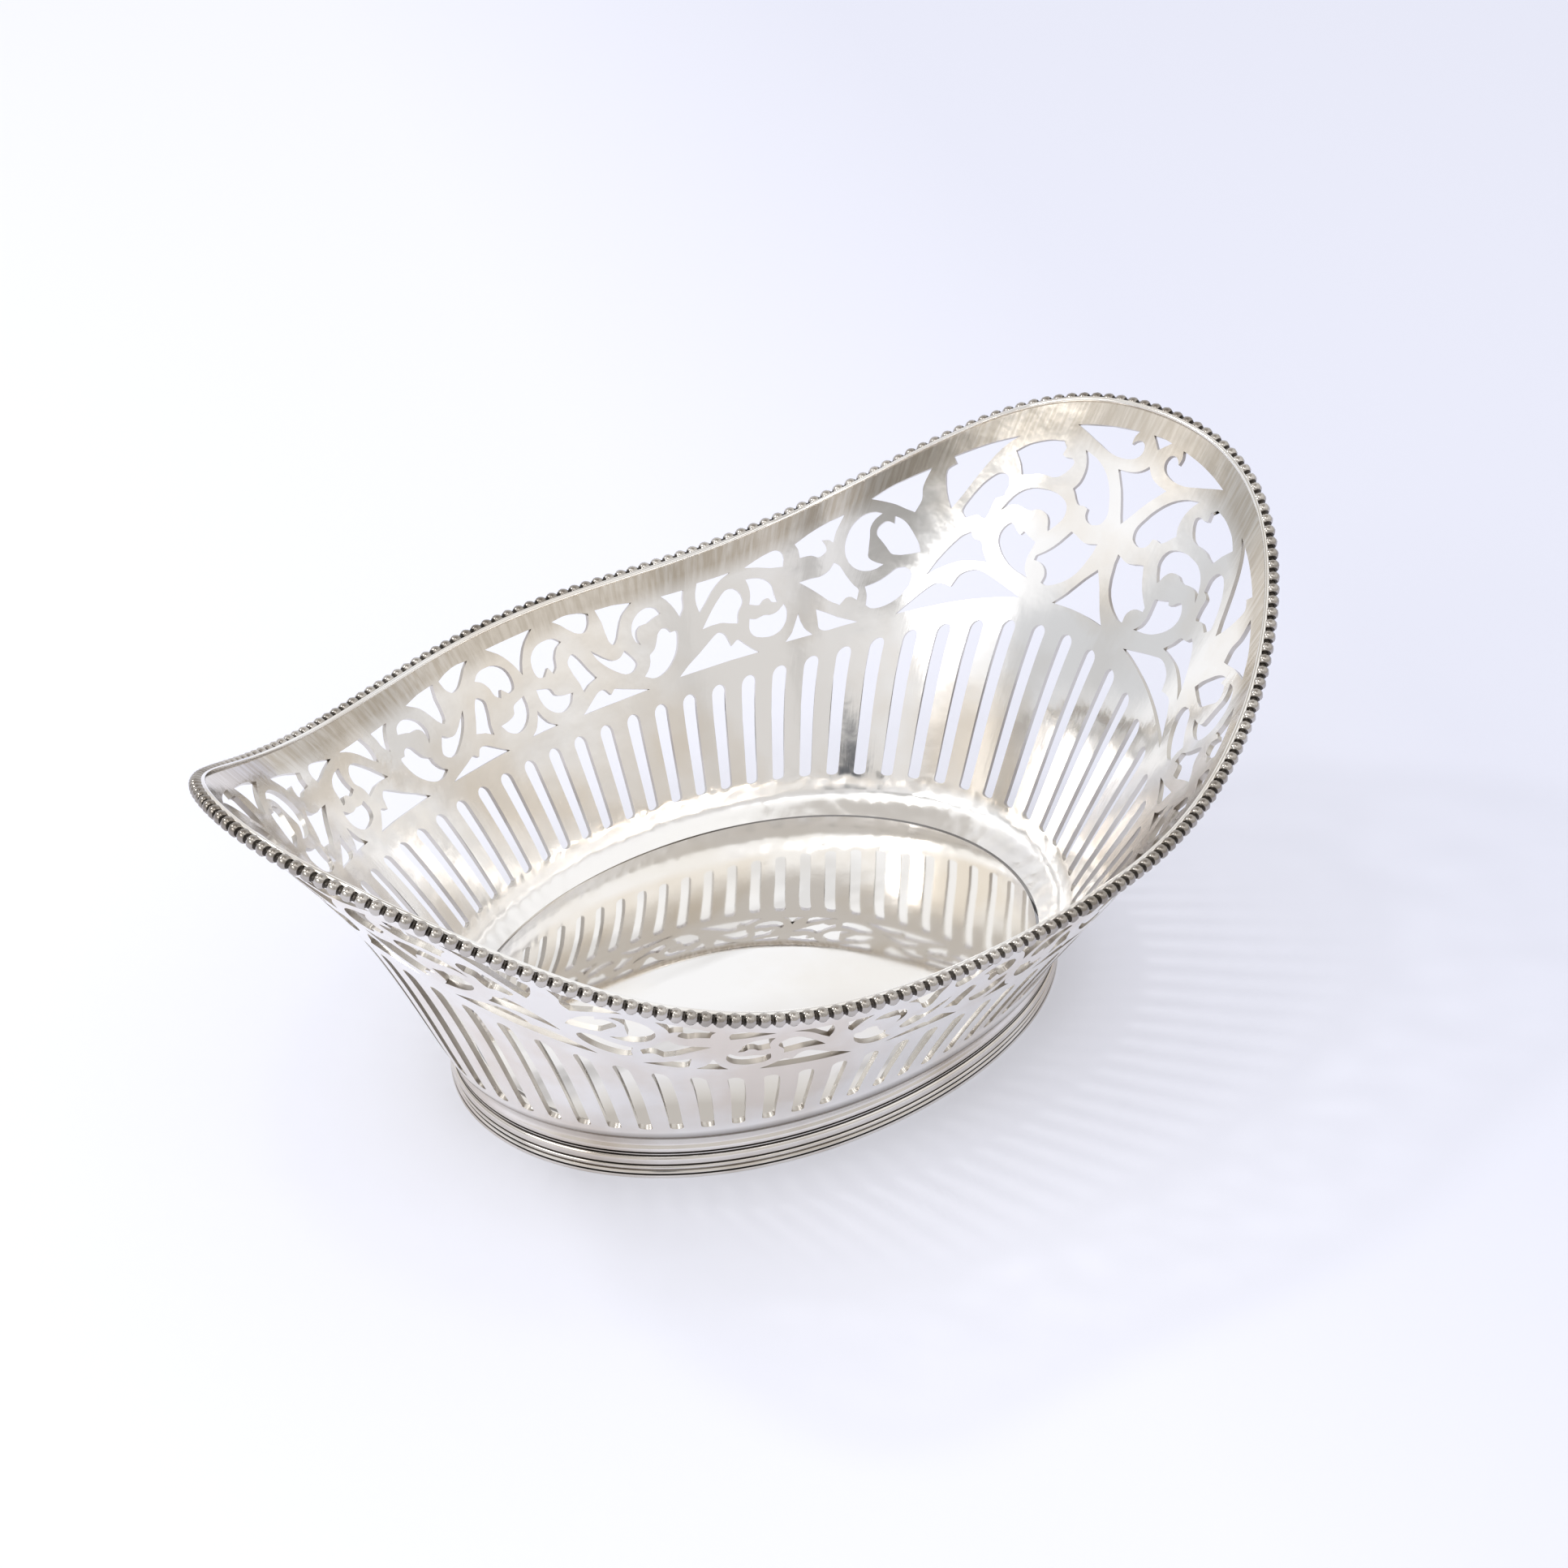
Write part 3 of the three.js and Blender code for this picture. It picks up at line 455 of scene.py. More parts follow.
# %% The flat sheet of a quarter
flat_height = FLAT_HEIGHTS[-1]
bpy.ops.object.select_all(action="DESELECT")
bpy.ops.mesh.primitive_grid_add(x_subdivisions=DRAWN, y_subdivisions=flat_height, size=1,
                                location=(DRAWN / 2 * MM, flat_height / 2 * MM, -SHEET / 2 * MM))
wall = bpy.context.object
wall.name = "pierced_wall"
wall.scale = (DRAWN * MM, flat_height * MM, 1)
pick(wall)
bpy.ops.object.transform_apply(location=True, rotation=True, scale=True)
thicken(wall, SHEET * MM)
print("flat sheet:", len(wall.data.polygons), "faces")

# %% The saw: every opening as a thin prism through the sheet
# No primitive has the outline of an opening, so the flat faces of the saw are written point by point.
corners, faces = [], []
for cut in cuts:
    faces.append(list(range(len(corners), len(corners) + len(cut))))
    corners += [(x * MM, y * MM, -2 * SHEET * MM) for x, y in cut]
blank = bpy.data.meshes.new("saw")
blank.from_pydata(corners, [], faces)
saw = bpy.data.objects.new("saw", blank)
scene.collection.objects.link(saw)
thicken(saw, 4 * SHEET * MM)

cutting = wall.modifiers.new("sawing", "BOOLEAN")
cutting.operation = "DIFFERENCE"
cutting.object = saw
cutting.solver = "EXACT"
apply_modifier(wall, cutting)
bpy.data.objects.remove(saw)
print("sawn sheet:", len(wall.data.polygons), "faces")

# %% [markdown]
# ## Raising
#
# Raising bends the flat sheet into the bowl: each point goes to its angle and level on the bowl's surface, and
# half the thickness off it. Then the quarter is mirrored twice, which welds the whole oval from four alike parts.
# While the sheet is still flat, its faces are easy to tell apart: the sawn edges stand upright, and the outside of
# the bowl is on top. Each gets a finish of its own here, because a polishing cloth reaches the inside, misses the
# sawn edges, and stops short of the corner over the foot, which also gets painted shade.

# %% The sheet is raised
INSIDE, SAWN, OUTSIDE = range(3)    # the finishes of the wall, by number
NEAR = 1e-3                     # mm within which a point lies on an upright edge of the quarter

at = places(wall) / MM
# The flat place is kept on the mesh, so that the finish can follow the wall: X along it and Y up it, in mm.
on_sheet = wall.data.attributes.new("on_the_sheet", "FLOAT_VECTOR", "POINT")
on_sheet.data.foreach_set("vector", at.astype(np.float32).ravel())
at_end = at[:, 0] < NEAR
at_side = at[:, 0] > DRAWN - NEAR
level = np.interp(at[:, 1], FLAT_HEIGHTS, range(5))
s = angle_at(at[:, 0])
raised = on_wall(s, level) + out_of_wall(s, level) * (at[:, 2:] * MM)
raised[at_end, 1] = 0
raised[at_side, 0] = 0
edge = at_end | at_side
pick(wall)
bpy.ops.object.mode_set(mode="EDIT")
bpy.ops.mesh.select_all(action="DESELECT")
bpy.ops.object.mode_set(mode="OBJECT")
for face in wall.data.polygons:
    stands = abs(face.normal.z) < 0.5
    face.material_index = SAWN if stands else OUTSIDE if face.normal.z > 0 else INSIDE
    # The end faces of the quarter go, because they would stand inside the wall once it is mirrored.
    face.select = abs(face.normal.x) > 0.9 and all(edge[v] for v in face.vertices)
bpy.ops.object.mode_set(mode="EDIT")
bpy.ops.mesh.select_mode(type="FACE")
bpy.ops.mesh.delete(type="ONLY_FACE")
bpy.ops.object.mode_set(mode="OBJECT")
move_to(wall, raised)

# %% The quarter becomes the whole wall
mirror = wall.modifiers.new("four quarters", "MIRROR")
mirror.use_axis = (True, True, False)
mirror.merge_threshold = 2e-6
apply_modifier(wall, mirror)
tidy(wall, 1e-6)
smooth(wall)
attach(wall, "root")
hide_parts("bowl_wall")
print("wall:", len(wall.data.polygons), "faces")

# %% [markdown]
# ## Strips and wires bent round the oval
#
# The foot band, the foot wire and the rim wires are all one section carried round a line and joined to itself.
# A torus has just that build: stations round it, and points round each station's section. So each begins as a
# torus with the right counts, and its points are moved to the section of the real strip.

# %% A torus becomes a bent strip
def bent_strip(name, sections):
    """Sections: points of each station, an array of stations x points x 3."""
    stations, points = sections.shape[:2]
    bpy.ops.object.select_all(action="DESELECT")
    bpy.ops.mesh.primitive_torus_add(major_segments=stations, minor_segments=points)
    strip = bpy.context.object
    strip.name = name
    move_to(strip, sections.reshape(-1, 3))
    tidy(strip)
    return strip


def flat_out(line, s):
    """The level direction straight out of a line."""
    round_it = on_line(line, s + STEP) - on_line(line, s - STEP)
    return unit(np.stack([round_it[:, 1], -round_it[:, 0], 0 * s], -1))


def profile(text):
    """A closed section in millimetres, as "out,up" points, read as the openings are."""
    return outline(text, tolerance=0.01)


# %% The foot band and the foot wire
# The band was drawn through a steel die: a thin bead, a broad convex mould, two fine grooves with a thread
# between them, a fillet, and a hollow above that meets the bowl. The wire below it has one groove.
FOOT_BAND = """-0.9,1.4* 0.2,1.4* 0.5,1.5 0.56,1.72 0.42,1.92* 0.15,2.05* 0.5,2.25 0.66,2.7 0.62,3.1 0.4,3.42*
 0.1,3.55* 0.36,3.68 0.36,3.82* 0.1,3.95* 0.42,4.12 0.5,4.45 0.4,4.75* 0.2,5.05 0.5,5.65* -0.9,4.6*"""
FOOT_WIRE = "-0.7,0* 0.35,0* 0.58,0.2 0.5,0.5* 0.25,0.62* 0.52,0.8 0.35,1.1* -0.7,1.1*"
GROOVES = ((0.5, 0.72), (1.95, 2.2), (3.42, 3.66), (3.84, 4.08))     # heights between which a groove lies
FILLET_TOP, BAND_TOP = 4.75, 5.65
STATIONS = 240


def underside(angles, out):
    """Height in mm of the bowl's outer face over the foot line, some millimetres out of it."""
    levels = np.linspace(0, 1.2, 49)
    face = on_wall(angles[:, None], levels) + out_of_wall(angles[:, None], levels) * SHEET / 2 * MM
    gone = np.sum((face - on_line(FOOT, angles)[:, None, :]) * flat_out(FOOT, angles)[:, None, :], -1)
    return np.array([np.interp(out * MM, g, f[:, 2]) for g, f in zip(gone, face)]) / MM


foot_angles = even_angles(lambda s: on_line(FOOT, s), STATIONS, 4 * QUARTER)[:-1]
reach = underside(foot_angles, 0.5) - BAND_TOP      # how far the band's top edge goes up to meet the bowl
foot_strips = (("foot_moulding", FOOT_BAND, "foot_band"), ("foot_base_wire", FOOT_WIRE, "foot_wire"))
for name, drawn, replaced in foot_strips:
    section = profile(drawn)
    share = np.clip((section[:, 1] - FILLET_TOP) / (BAND_TOP - FILLET_TOP), 0, 1)
    heights = section[None, :, 1] + share[None, :] * reach[:, None]
    base = on_line(FOOT, foot_angles)[:, None, :]
    outward = flat_out(FOOT, foot_angles)[:, None, :]
    sections = base + outward * section[None, :, :1] * MM + np.array([0, 0, 1]) * heights[..., None] * MM
    strip = bent_strip(name, sections)
    for face in strip.data.polygons:
        # Faces in the grooves get the dark finish: painted shade, with some tarnish.
        face.material_index = int(any(low < face.center.z / MM < high for low, high in GROOVES))
    in_grooves = sum(face.material_index for face in strip.data.polygons)
    smooth(strip)
    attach(strip, "root")
    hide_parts(replaced)
    print(name, len(strip.data.polygons), "faces, of them in the grooves:", in_grooves)
print("the band reaches up, mm:", round(reach.min(), 2), "to", round(reach.max(), 2))

# %% The plain wire inside the rim
def rim_line(s):
    return on_wall(s, 4)


def rim_wire(name, angles, out, up, radius, turns):
    """A wire of round section along the rim, some millimetres out of the wall and up it."""
    outward = out_of_wall(angles, 4.0)[:, None, :]
    upward = up_wall(angles, 4.0)[:, None, :]
    across = (out + radius * np.cos(turns))[None, :, None] * MM
    along_it = (up + radius * np.sin(turns))[None, :, None] * MM
    return bent_strip(name, rim_line(angles)[:, None, :] + outward * across + upward * along_it)


INNER_RADIUS = 0.4
INNER_OUT = -0.5                # it sits on the inner corner of the sheet's edge
INNER_UP = 0.3
wire_angles = even_angles(rim_line, STATIONS, 4 * QUARTER)[:-1]
twelve = np.radians(np.linspace(0, 360, 12, endpoint=False))
inner = rim_wire("rim_bright_wire", wire_angles, INNER_OUT, INNER_UP, INNER_RADIUS, twelve)
smooth(inner)
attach(inner, "root")
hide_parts("rim_inner_wire")

# %% [markdown]
# ## The beaded wire
#
# Beaded wire is rolled between two hollowed tools that squeeze it into a row of little balls. One bead is
# modelled and copied along the rim, on a thinner wire that joins them. A ball of level rings has two poles: they
# are turned to its neighbours, so that the faces round the poles can take the painted shade, with some tarnish,
# that darkens the gaps.

# %% One bead, then 228
BEADS = 228
BEAD_RADIUS = 0.95
BEAD_OUT = 0.36                 # the row leans over the outer corner of the sheet's edge
BEAD_UP = 0.55
CORE_RADIUS = 0.5
GAP_FROM = 0.8                  # share of a bead's radius, along the rim, from which it is dark

bead_angles = even_angles(rim_line, BEADS, 4 * QUARTER)[:-1]
core = rim_wire("rim_beads", bead_angles, BEAD_OUT, BEAD_UP, CORE_RADIUS, twelve[::2])
bpy.ops.object.select_all(action="DESELECT")
bpy.ops.mesh.primitive_uv_sphere_add(segments=10, ring_count=8, radius=BEAD_RADIUS * MM)
bead = bpy.context.object
in_gap = [abs(face.center.z) > GAP_FROM * BEAD_RADIUS * MM for face in bead.data.polygons]
centres = rim_line(bead_angles)
centres += (up_wall(bead_angles, 4.0) * BEAD_UP + out_of_wall(bead_angles, 4.0) * BEAD_OUT) * MM
row = []
for before, centre, after in zip(np.roll(centres, 1, 0), centres, np.roll(centres, -1, 0)):
    copy = bead.copy()
    copy.data = bead.data.copy()
    copy.location = centre
    copy.rotation_euler = Vector(after - before).to_track_quat("Z", "Y").to_euler()
    scene.collection.objects.link(copy)
    row.append(copy)
bpy.data.objects.remove(bead)
core_faces = len(core.data.polygons)
pick(core, *row)
bpy.ops.object.join()
pick(core)
bpy.ops.object.transform_apply(location=True, rotation=True, scale=True)
smooth(core, 60)

# The wire is the first object of the join, so the faces after its own are the beads, one bead after another.
# The joining wire and the faces round the poles keep the dark finish: painted shade in the gaps, with some
# tarnish.
for face, dark in zip(core.data.polygons[core_faces:], in_gap * BEADS):
    face.material_index = int(not dark)
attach(core, "root")
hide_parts("rim_bead_wire")
print("bead pitch, mm:", round(float(np.linalg.norm(centres[1] - centres[0]) / MM), 2))

# %% [markdown]
# ## The floor
#
# The floor is a flat oval plate, polished as a mirror: it shows the slots of the wall upside down. A plate with a
# single flat top face is the truest mirror. Its edge is rounded a little, where it meets the wall.

# %% The floor plate
FLOOR_TOP = 5.65
FLOOR_THICK = 0.9
FLOOR_INSET = 0.55              # it ends this far inside the wall's lowest line
EDGE_ROUND = 0.2

plate_angles = even_angles(lambda s: on_line(FLOOR_LINE, s), STATIONS, 4 * QUARTER)[:-1]
bpy.ops.object.select_all(action="DESELECT")
bpy.ops.mesh.primitive_circle_add(vertices=STATIONS, fill_type="NGON")
plate = bpy.context.object
plate.name = "floor_mirror"
ring = on_line(FLOOR_LINE, plate_angles) - flat_out(FLOOR_LINE, plate_angles) * FLOOR_INSET * MM
ring[:, 2] = (FLOOR_TOP - FLOOR_THICK) * MM
move_to(plate, ring)
thicken(plate, FLOOR_THICK * MM)
softened = plate.modifiers.new("rounded edge", "BEVEL")
softened.width = EDGE_ROUND * MM
softened.segments = 2
apply_modifier(plate, softened)
smooth(plate)
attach(plate, "root")
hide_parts("floor_plate")
print("floor plate:", len(plate.data.polygons), "faces")

# %% [markdown]
# ## Silver
#
# Silver is the whitest metal, with a slight warmth. Hand-polished silver isn't a perfect mirror: the hammer
# leaves a slow waviness, the polishing cloth leaves hair-fine scratches, and a thin warm bloom of tarnish stays
# where the cloth doesn't reach. A plain white metal with a low roughness would look like chrome. So one function
# mixes the bloom into the colour, dents the surface at a few sizes, and adds the tarnish, the painted shade of the
# corner over the foot and the strokes of the cloth where a finish asks for them. Every finish of the basket is
# this one metal with other amounts.

# %% Colours and nodes
def linear(code):
    """A colour written as sRGB hex, as the linear values that the shader needs."""
    parts = [int(code[i:i + 2], 16) / 255 for i in (1, 3, 5)]
    return [c / 12.92 if c <= 0.04045 else ((c + 0.055) / 1.055)**2.4 for c in parts] + [1]


def add_node(tree, kind, inputs=None, **settings):
    """Adds one node; an input is given a value, or the socket that feeds it."""
    node = tree.nodes.new(kind)
    for name, value in settings.items():
        setattr(node, name, value)
    for key, value in (inputs or {}).items():
        if isinstance(value, bpy.types.NodeSocket):
            tree.links.new(value, node.inputs[key])
        else:
            node.inputs[key].default_value = value
    return node


def new_material(name):
    material = bpy.data.materials.new(name)
    material.use_nodes = True
    material.node_tree.nodes.clear()
    return material


# %% Where the marks and the tarnish lie, in millimetres
BLOOM_SIZE = 22                 # of the patches of warm bloom
BLOOM_EDGE = 0.44, 0.64         # values of the noise between which a patch fades in
BLOOM_ROUGH = 0.05              # how much rougher it is than the clean metal
STROKE_WIDTH = 0.6              # of the strokes of the cloth, which are ten times as long
STROKE_EDGE = 0.36, 0.64        # values of the noise between which a stroke fades out
LEFT_ON = 0.62                  # share of the tarnish that a stroke leaves
HAMMER_SIZE = 2.0               # of the hammer marks over the cove
UNDER_RIM = 49, 53              # up the flat sheet: where the tarnish starts, and where it is full
HAMMERED = 11, 9.8              # over the table: where the hammer marks start, and where they are full
SATIN = 9.6, 8.6                # the same for the satin cove
SATIN_ROUGH = 0.1               # how much rougher it is
# Painted shade and tarnish: the corner over the foot is darkened between these heights.
SHADED_CORNER = 8.6, 7.0               # the same for the dark corner over the foot


# %% Silver with its bloom, its marks and its tarnish
def silver(name, bright, bloom, marks, rough, strokes=0.0, under_rim=None, cove=0.0, corner=None):
    """Silver with a warm bloom in patches. Marks are (size, depth) of dents; strokes and cove are the depths of
    the strokes of the cloth and of the hammer marks, all in mm. Under_rim is tarnish; corner is tarnish and
    painted shade."""
    material = new_material(name)
    tree = material.node_tree
    place = add_node(tree, "ShaderNodeTexCoord").outputs["Object"]
    height = add_node(tree, "ShaderNodeSeparateXYZ", {"Vector": place}).outputs["Z"]
    patches = add_node(tree, "ShaderNodeTexNoise", {"Vector": place, "Scale": 1 / (BLOOM_SIZE * MM),
                                                    "Detail": 5.0})
    bloomed = add_node(tree, "ShaderNodeMapRange", {"Value": patches.outputs["Fac"], "From Min": BLOOM_EDGE[0],
                                                    "From Max": BLOOM_EDGE[1]}).outputs["Result"]
    roughness = add_node(tree, "ShaderNodeMapRange", {"Value": bloomed, "To Min": rough,
                                                      "To Max": rough + BLOOM_ROUGH}).outputs["Result"]
    layers = [(bloomed, bloom)]     # how much of each colour lies over the ones before it
    dents = []                      # the heights of each kind of mark, their depth, and how strong they are
    for size, depth in marks:
        noise = add_node(tree, "ShaderNodeTexNoise", {"Vector": place, "Scale": 1 / (size * MM), "Detail": 2.0})
        dents.append((noise.outputs["Fac"], depth, 1.0))
    if under_rim:
        # The strokes follow the sheet and run up it. They have worn the tarnish thinner.
        sheet = add_node(tree, "ShaderNodeAttribute", attribute_name="on_the_sheet").outputs["Vector"]
        long_ones = add_node(tree, "ShaderNodeMapping", {"Vector": sheet,
                                                         "Scale": (1.0, 0.1, 1.0)}).outputs["Vector"]
        cloth = add_node(tree, "ShaderNodeTexNoise", {"Vector": long_ones, "Scale": 1 / STROKE_WIDTH,
                                                      "Detail": 2.0})
        left_on = add_node(tree, "ShaderNodeMapRange", {"Value": cloth.outputs["Fac"], "From Min": STROKE_EDGE[0],
                                                        "From Max": STROKE_EDGE[1],
                                                        "To Min": LEFT_ON}).outputs["Result"]
        up = add_node(tree, "ShaderNodeSeparateXYZ", {"Vector": sheet}).outputs["Y"]
        near_rim = add_node(tree, "ShaderNodeMapRange", {"Value": up, "From Min": UNDER_RIM[0],
                                                         "From Max": UNDER_RIM[1]}).outputs["Result"]
        tarnished = add_node(tree, "ShaderNodeMath", {0: near_rim, 1: left_on}, operation="MULTIPLY")
        layers.append((tarnished.outputs["Value"], under_rim))
        dents.append((cloth.outputs["Fac"], strokes, 1.0))
    if cove:
        low = add_node(tree, "ShaderNodeMapRange", {"Value": height, "From Min": HAMMERED[0] * MM,
                                                    "From Max": HAMMERED[1] * MM}).outputs["Result"]
        hammer = add_node(tree, "ShaderNodeTexVoronoi", {"Vector": place, "Scale": 1 / (HAMMER_SIZE * MM)},
                          feature="SMOOTH_F1")
        dents.append((hammer.outputs["Distance"], cove, low))
        satin = add_node(tree, "ShaderNodeMapRange", {"Value": height, "From Min": SATIN[0] * MM,
                                                      "From Max": SATIN[1] * MM}).outputs["Result"]
        layers.append((satin, bright))
        roughness = add_node(tree, "ShaderNodeMath", {0: satin, 1: SATIN_ROUGH, 2: roughness},
                             operation="MULTIPLY_ADD").outputs["Value"]
    # The corner over the foot is darkened: tarnish, with painted shade for the dark hollow of the foot that it
    # reflects.
    if corner:
        in_shaded_corner = add_node(tree, "ShaderNodeMapRange", {"Value": height, "From Min": SHADED_CORNER[0] * MM,
                                                          "From Max": SHADED_CORNER[1] * MM}).outputs["Result"]
        layers.append((in_shaded_corner, corner))
    colour, normal = linear(bright), {}
    for amount, code in layers:
        over = add_node(tree, "ShaderNodeMix", {"Factor": amount, "A": colour, "B": linear(code)},
                        data_type="RGBA")
        colour = over.outputs["Result"]
    for heights, depth, strength in dents:
        dented = add_node(tree, "ShaderNodeBump", {"Height": heights, "Strength": strength, "Distance": depth * MM,
                                                   **normal})
        normal = {"Normal": dented.outputs["Normal"]}
    shader = add_node(tree, "ShaderNodeBsdfPrincipled", {"Base Color": colour, "Metallic": 1.0,
                                                         "Roughness": roughness, **normal})
    add_node(tree, "ShaderNodeOutputMaterial", {"Surface": shader.outputs["BSDF"]})
    return material


# %% The finishes of the wall and the floor
# Planishing leaves marks of three sizes: the slow swell of the sheet, the flats of the hammer, and fine scratches.
PLANISHED = [(11, 0.12), (2.6, 0.02), (0.6, 0.0016)]

# Silver, raised and planished with hammers, then rubbed up the wall. It gives a bright face with soft-edged
# reflections, a satin cove with hammer marks above it, and brown under the rim that shows the strokes.
raised_silver = silver("raised and planished silver", "#FDFCFB", "#F1EAE0", PLANISHED, 0.11,
                       strokes=0.005, under_rim="#CBC2B5", cove=0.14)

# The outside of the same sheet. It is as bright, and goes dark in the corner over the foot: tarnish where no cloth
# comes, and painted shade for the dark hollow of the foot that it reflects.
outer_silver = silver("planished silver with a corner of tarnish and painted shade", "#FCFAF8", "#EDE4DA", PLANISHED, 0.09,
                      corner="#6E655D")

# Silver, sawn and filed. It gives greyer, matt edges, which draw every opening with a fine line.
sawn_silver = silver("sawn and filed silver edges", "#DAD6D0", "#B0A9A1", [(1.2, 0.02)], 0.25)

# Silver plate, rolled flat and polished as a mirror. It gives the slots of the wall again, upside down.
floor_silver = silver("mirror-polished silver plate", "#FDFCFB", "#F8F5F0", [(18, 0.02), (0.6, 0.0006)], 0.02)

# %% The finishes of the foot and the rim
# Silver, drawn through a steel die. It gives smooth lines of light along the strip, a little greyer than the wall.
drawn_silver = silver("drawn silver moulding", "#EAE6E1", "#CDC3B8", [(12, 0.03), (3, 0.006), (0.6, 0.0016)], 0.11)

# Silver wire, drawn bright. It gives one thin white line inside the beads.
bright_wire = silver("bright drawn silver wire", "#FBFAF8", "#EFEAE3", [(12, 0.004), (0.6, 0.0008)], 0.08)

# Silver wire, rolled into beads and coloured greyer than the sheet. It gives greyer balls, each with a small
# highlight.
beaded_silver = silver("rolled bead wire", "#C8C3BD", "#948D85", [(12, 0.004), (0.6, 0.0016)], 0.14)

# Silver darkened in the grooves and between the beads: painted shade in these recesses, with some tarnish. It
# gives nearly black lines that part the mouldings.
tarnish_and_shade_silver = silver("tarnished silver with painted shade in the grooves", "#57524D", "#38342F", [(1, 0.002)], 0.3)

# %% Every piece gets its finishes, in the order of its faces' numbers
foot_finishes = [drawn_silver, tarnish_and_shade_silver]
for thing, finishes in ((wall, [raised_silver, sawn_silver, outer_silver]), (plate, [floor_silver]),
                        (inner, [bright_wire]), (core, [tarnish_and_shade_silver, beaded_silver]),
                        (bpy.data.objects["foot_moulding"], foot_finishes),
                        (bpy.data.objects["foot_base_wire"], foot_finishes)):
    for finish in finishes:
        thing.data.materials.append(finish)
    print(thing.name, [material.name for material in thing.data.materials],
          "faces of each:", np.bincount([face.material_index for face in thing.data.polygons]))

# %% [markdown]
# ## Table, room and lamps
#
# Polished metal has no look of its own: it shows what is round it. The basket stands on a white paper sweep in a
# pale room. An even white room would leave the silver flat and chalky, and a modelled room would be a lot of work
# for a blurred reflection. So the room is a few soft-edged patches of colour, each lying towards one way, and only
# glossy rays see them. All other rays get an even pale light, which keeps the paper calm.

# %% The two level ways that the camera sees: to the right, and away from it
right = Vector((math.cos(TURN_LEFT), -math.sin(TURN_LEFT), 0))
away = Vector((-back.x, -back.y, 0)).normalized()

# %% The paper that the basket stands on
PAPER_GLOW = 0.28               # share of plain white in what is seen of the paper, which keeps its shadows faint
# Painted shade: the paper is coloured darker and bluer that way from the basket, where its shadow falls.
SHADE_WAY = right * 0.95 + away * 0.3
SHADE_FROM, SHADE_TO = 20, 120  # the paper turns bluer between these places, in mm that way from the basket

bpy.ops.object.select_all(action="DESELECT")
bpy.ops.mesh.primitive_plane_add(size=8)
paper = bpy.context.object
paper.name = "paper_sweep"
white_paper = new_material("matt white paper")
tree = white_paper.node_tree
spot = add_node(tree, "ShaderNodeTexCoord").outputs["Object"]
# The painted shade on the paper: darker and bluer further to the right of the basket.
gone = add_node(tree, "ShaderNodeVectorMath", {0: spot, 1: tuple(SHADE_WAY)}, operation="DOT_PRODUCT")
far = add_node(tree, "ShaderNodeMapRange", {"Value": gone.outputs["Value"], "From Min": SHADE_FROM * MM,
                                            "From Max": SHADE_TO * MM})
paper_with_painted_shade = add_node(tree, "ShaderNodeMix", {"Factor": far.outputs["Result"], "A": linear("#F1F2FA"),
                                                "B": linear("#E0E2EF")}, data_type="RGBA")
shader = add_node(tree, "ShaderNodeBsdfPrincipled", {"Base Color": paper_with_painted_shade.outputs["Result"],
                                                     "Roughness": 0.9, "Specular IOR Level": 0.1})
ray = add_node(tree, "ShaderNodeLightPath")
looked_at = add_node(tree, "ShaderNodeMath", {0: ray.outputs["Is Camera Ray"], 1: ray.outputs["Is Glossy Ray"]},
                     operation="MAXIMUM")
share = add_node(tree, "ShaderNodeMath", {0: looked_at.outputs["Value"], 1: PAPER_GLOW}, operation="MULTIPLY")
white = add_node(tree, "ShaderNodeEmission", {"Color": linear("#F9FAFD"), "Strength": 1.0})
seen = add_node(tree, "ShaderNodeMixShader", {0: share.outputs["Value"], 1: shader.outputs["BSDF"],
                                              2: white.outputs["Emission"]})
add_node(tree, "ShaderNodeOutputMaterial", {"Surface": seen.outputs["Shader"]})
paper.data.materials.append(white_paper)

# %% [markdown]
# ## The room
#
# The patches are laid over one another like cut paper. Each has a colour and the ways that it lies towards; where
# it lies towards two ways at once, the amounts are multiplied. A ring of light panels overhead lights the inside
# of the far wall. The dark side of the ceiling and a grey cupboard give the metal its greys. They were placed by
# working out where a look at a grey part of the wall goes on to after the wall has thrown it back.

# %% The room as patches of colour
world = bpy.data.worlds.new("pale studio")
world.use_nodes = True
scene.world = world
tree = world.node_tree
tree.nodes.clear()
direction = add_node(tree, "ShaderNodeTexCoord").outputs["Generated"]


def facing(way, low, high):
    """How far a direction of the room lies towards a way: 0 at the low cosine and 1 at the high one."""
    dot = add_node(tree, "ShaderNodeVectorMath", {0: direction, 1: tuple(way.normalized())},
                   operation="DOT_PRODUCT")
    ramp = add_node(tree, "ShaderNodeMapRange", {"Value": dot.outputs["Value"], "From Min": low, "From Max": high})
    return ramp.outputs["Result"]


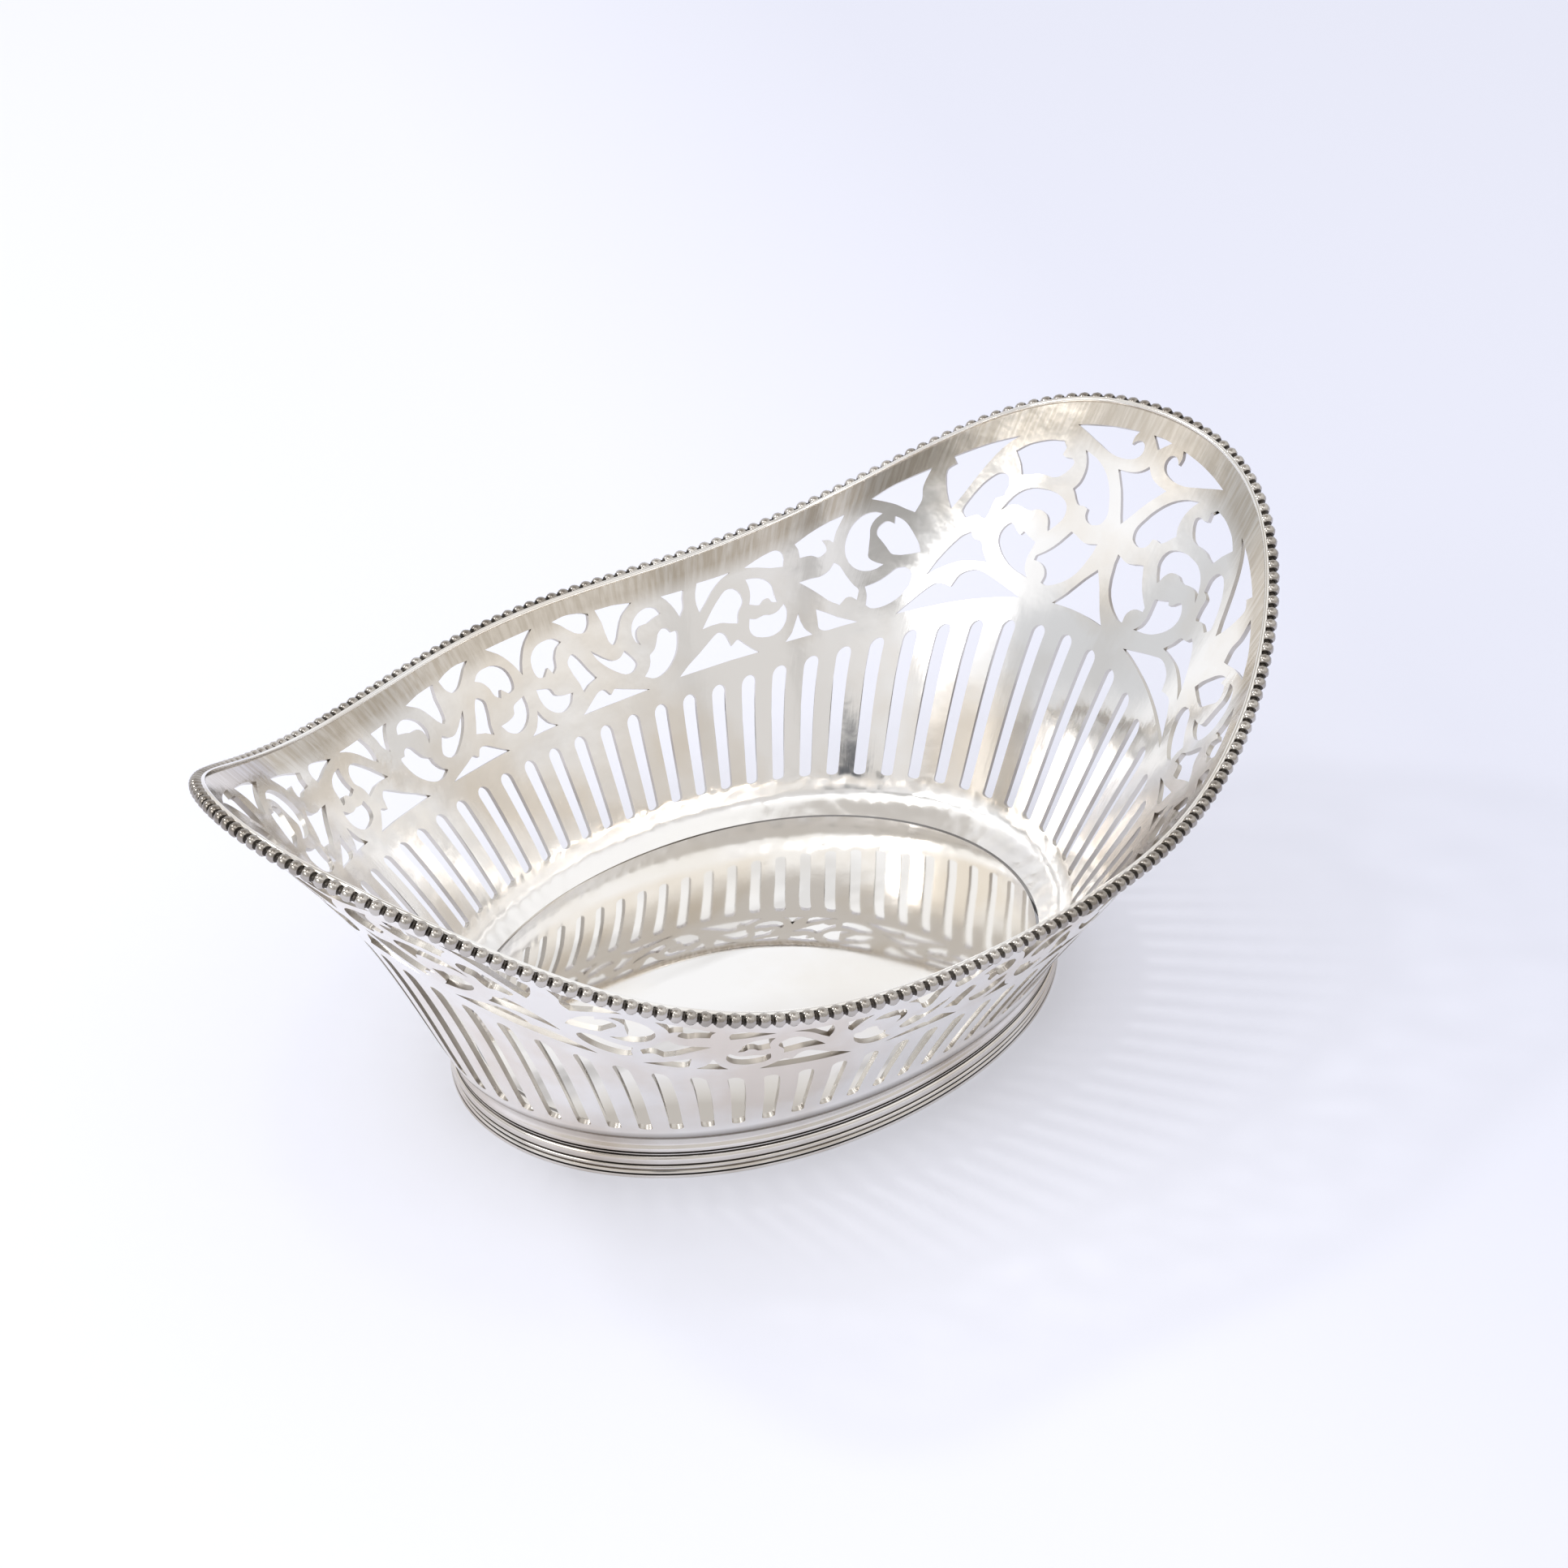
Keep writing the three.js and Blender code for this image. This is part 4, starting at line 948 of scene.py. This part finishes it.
UP = Vector((0, 0, 1))
clutter = add_node(tree, "ShaderNodeTexNoise", {"Vector": direction, "Scale": 3.5, "Detail": 3.0,
                                                "Distortion": 0.6})
shapes = add_node(tree, "ShaderNodeMapRange", {"Value": clutter.outputs["Fac"], "From Min": 0.50, "From Max": 0.60,
                                               "To Max": 0.4})
layers = [
    ("#DAD7D4", [facing(right - away, -0.14, 0.71)]),                       # the duller wall
    ("#E9E8EA", [facing(UP, 0.62, 0.72)]),                                  # the ceiling
    ("#9A9996", [facing(UP, 0.60, 0.70),
                 facing(right * -0.8 - away * 0.6, 0.45, 0.68)]),           # its dark side
    ("#D2D3D5", [facing(right * -0.95 + away * 0.05 + UP * 0.32, 0.88, 0.94),
                 facing(UP, 0.10, 0.20), facing(UP, 0.48, 0.40)]),          # a grey cupboard on the left
    ("#BDBAB6", [shapes.outputs["Result"]]),                                # furniture and frames
    ("#7D7A76", [shapes.outputs["Result"], facing(UP, 0.56, 0.68)]),        # beams and lamp stands
    ("#FDFCFB", [facing(right + UP * 1.07, 0.87, 0.93)]),                   # a white screen on the right
    ("#FCFBF9", [facing(UP, 0.77, 0.81)]),                                  # a ring of light panels
    ("#C2BDB7", [facing(UP + away * 0.27, 0.90, 0.94)]),                    # the dim middle of the ring
    ("#4A4E55", [facing(UP * 0.49 - away, 0.9930, 0.9985)]),                # the camera itself
]
room = linear("#FAFAFB")
for code, amounts in layers:
    amount = amounts[0]
    for other in amounts[1:]:
        amount = add_node(tree, "ShaderNodeMath", {0: amount, 1: other}, operation="MULTIPLY").outputs["Value"]
    layer = add_node(tree, "ShaderNodeMix", {"Factor": amount, "A": room, "B": linear(code)}, data_type="RGBA")
    room = layer.outputs["Result"]

ray = add_node(tree, "ShaderNodeLightPath")
seen = add_node(tree, "ShaderNodeMix", {"Factor": ray.outputs["Is Glossy Ray"], "A": linear("#F2F2F9"), "B": room},
                data_type="RGBA")
light = add_node(tree, "ShaderNodeBackground", {"Color": seen.outputs["Result"], "Strength": 1.0})
add_node(tree, "ShaderNodeOutputWorld", {"Surface": light.outputs["Background"]})

# %% [markdown]
# ## The lamps
#
# Four lamps add what the even light can't: the spots that are brighter than white paper. A small one at the left
# throws the pierced shadow to the right, a window behind the camera whitens the far end, a long strip draws thin
# lights along the mouldings, and a small lamp overhead glints in the cove and puts a spot on the mirror floor.

# %% The lamps
LAMP_DISTANCE = 0.7             # metres


def soft_lamp(name, side, depth, height, size, watts):
    """A lamp placed by its direction from the basket, as the camera sees it; size is (width, height) in metres."""
    way = (right * side + away * depth + UP * height).normalized()
    bpy.ops.object.light_add(type="AREA", location=TARGET + way * LAMP_DISTANCE)
    lamp = bpy.context.object
    lamp.name = name
    lamp.rotation_euler = (-way).to_track_quat("-Z", "Y").to_euler()
    lamp.data.shape = "RECTANGLE"
    lamp.data.size, lamp.data.size_y = size
    lamp.data.energy = watts


soft_lamp("left_lamp", -0.75, 0.2, 0.75, (0.07, 0.07), 0.72)
soft_lamp("window", -0.66, -0.50, 0.56, (0.34, 0.20), 0.62)
soft_lamp("long_strip", -0.1, -0.40, 0.90, (0.9, 0.08), 0.30)
soft_lamp("ceiling_lamp", -0.21, -0.12, 0.97, (0.14, 0.08), 0.20)

# %% Colours are shown as they are
scene.view_settings.view_transform = "Standard"
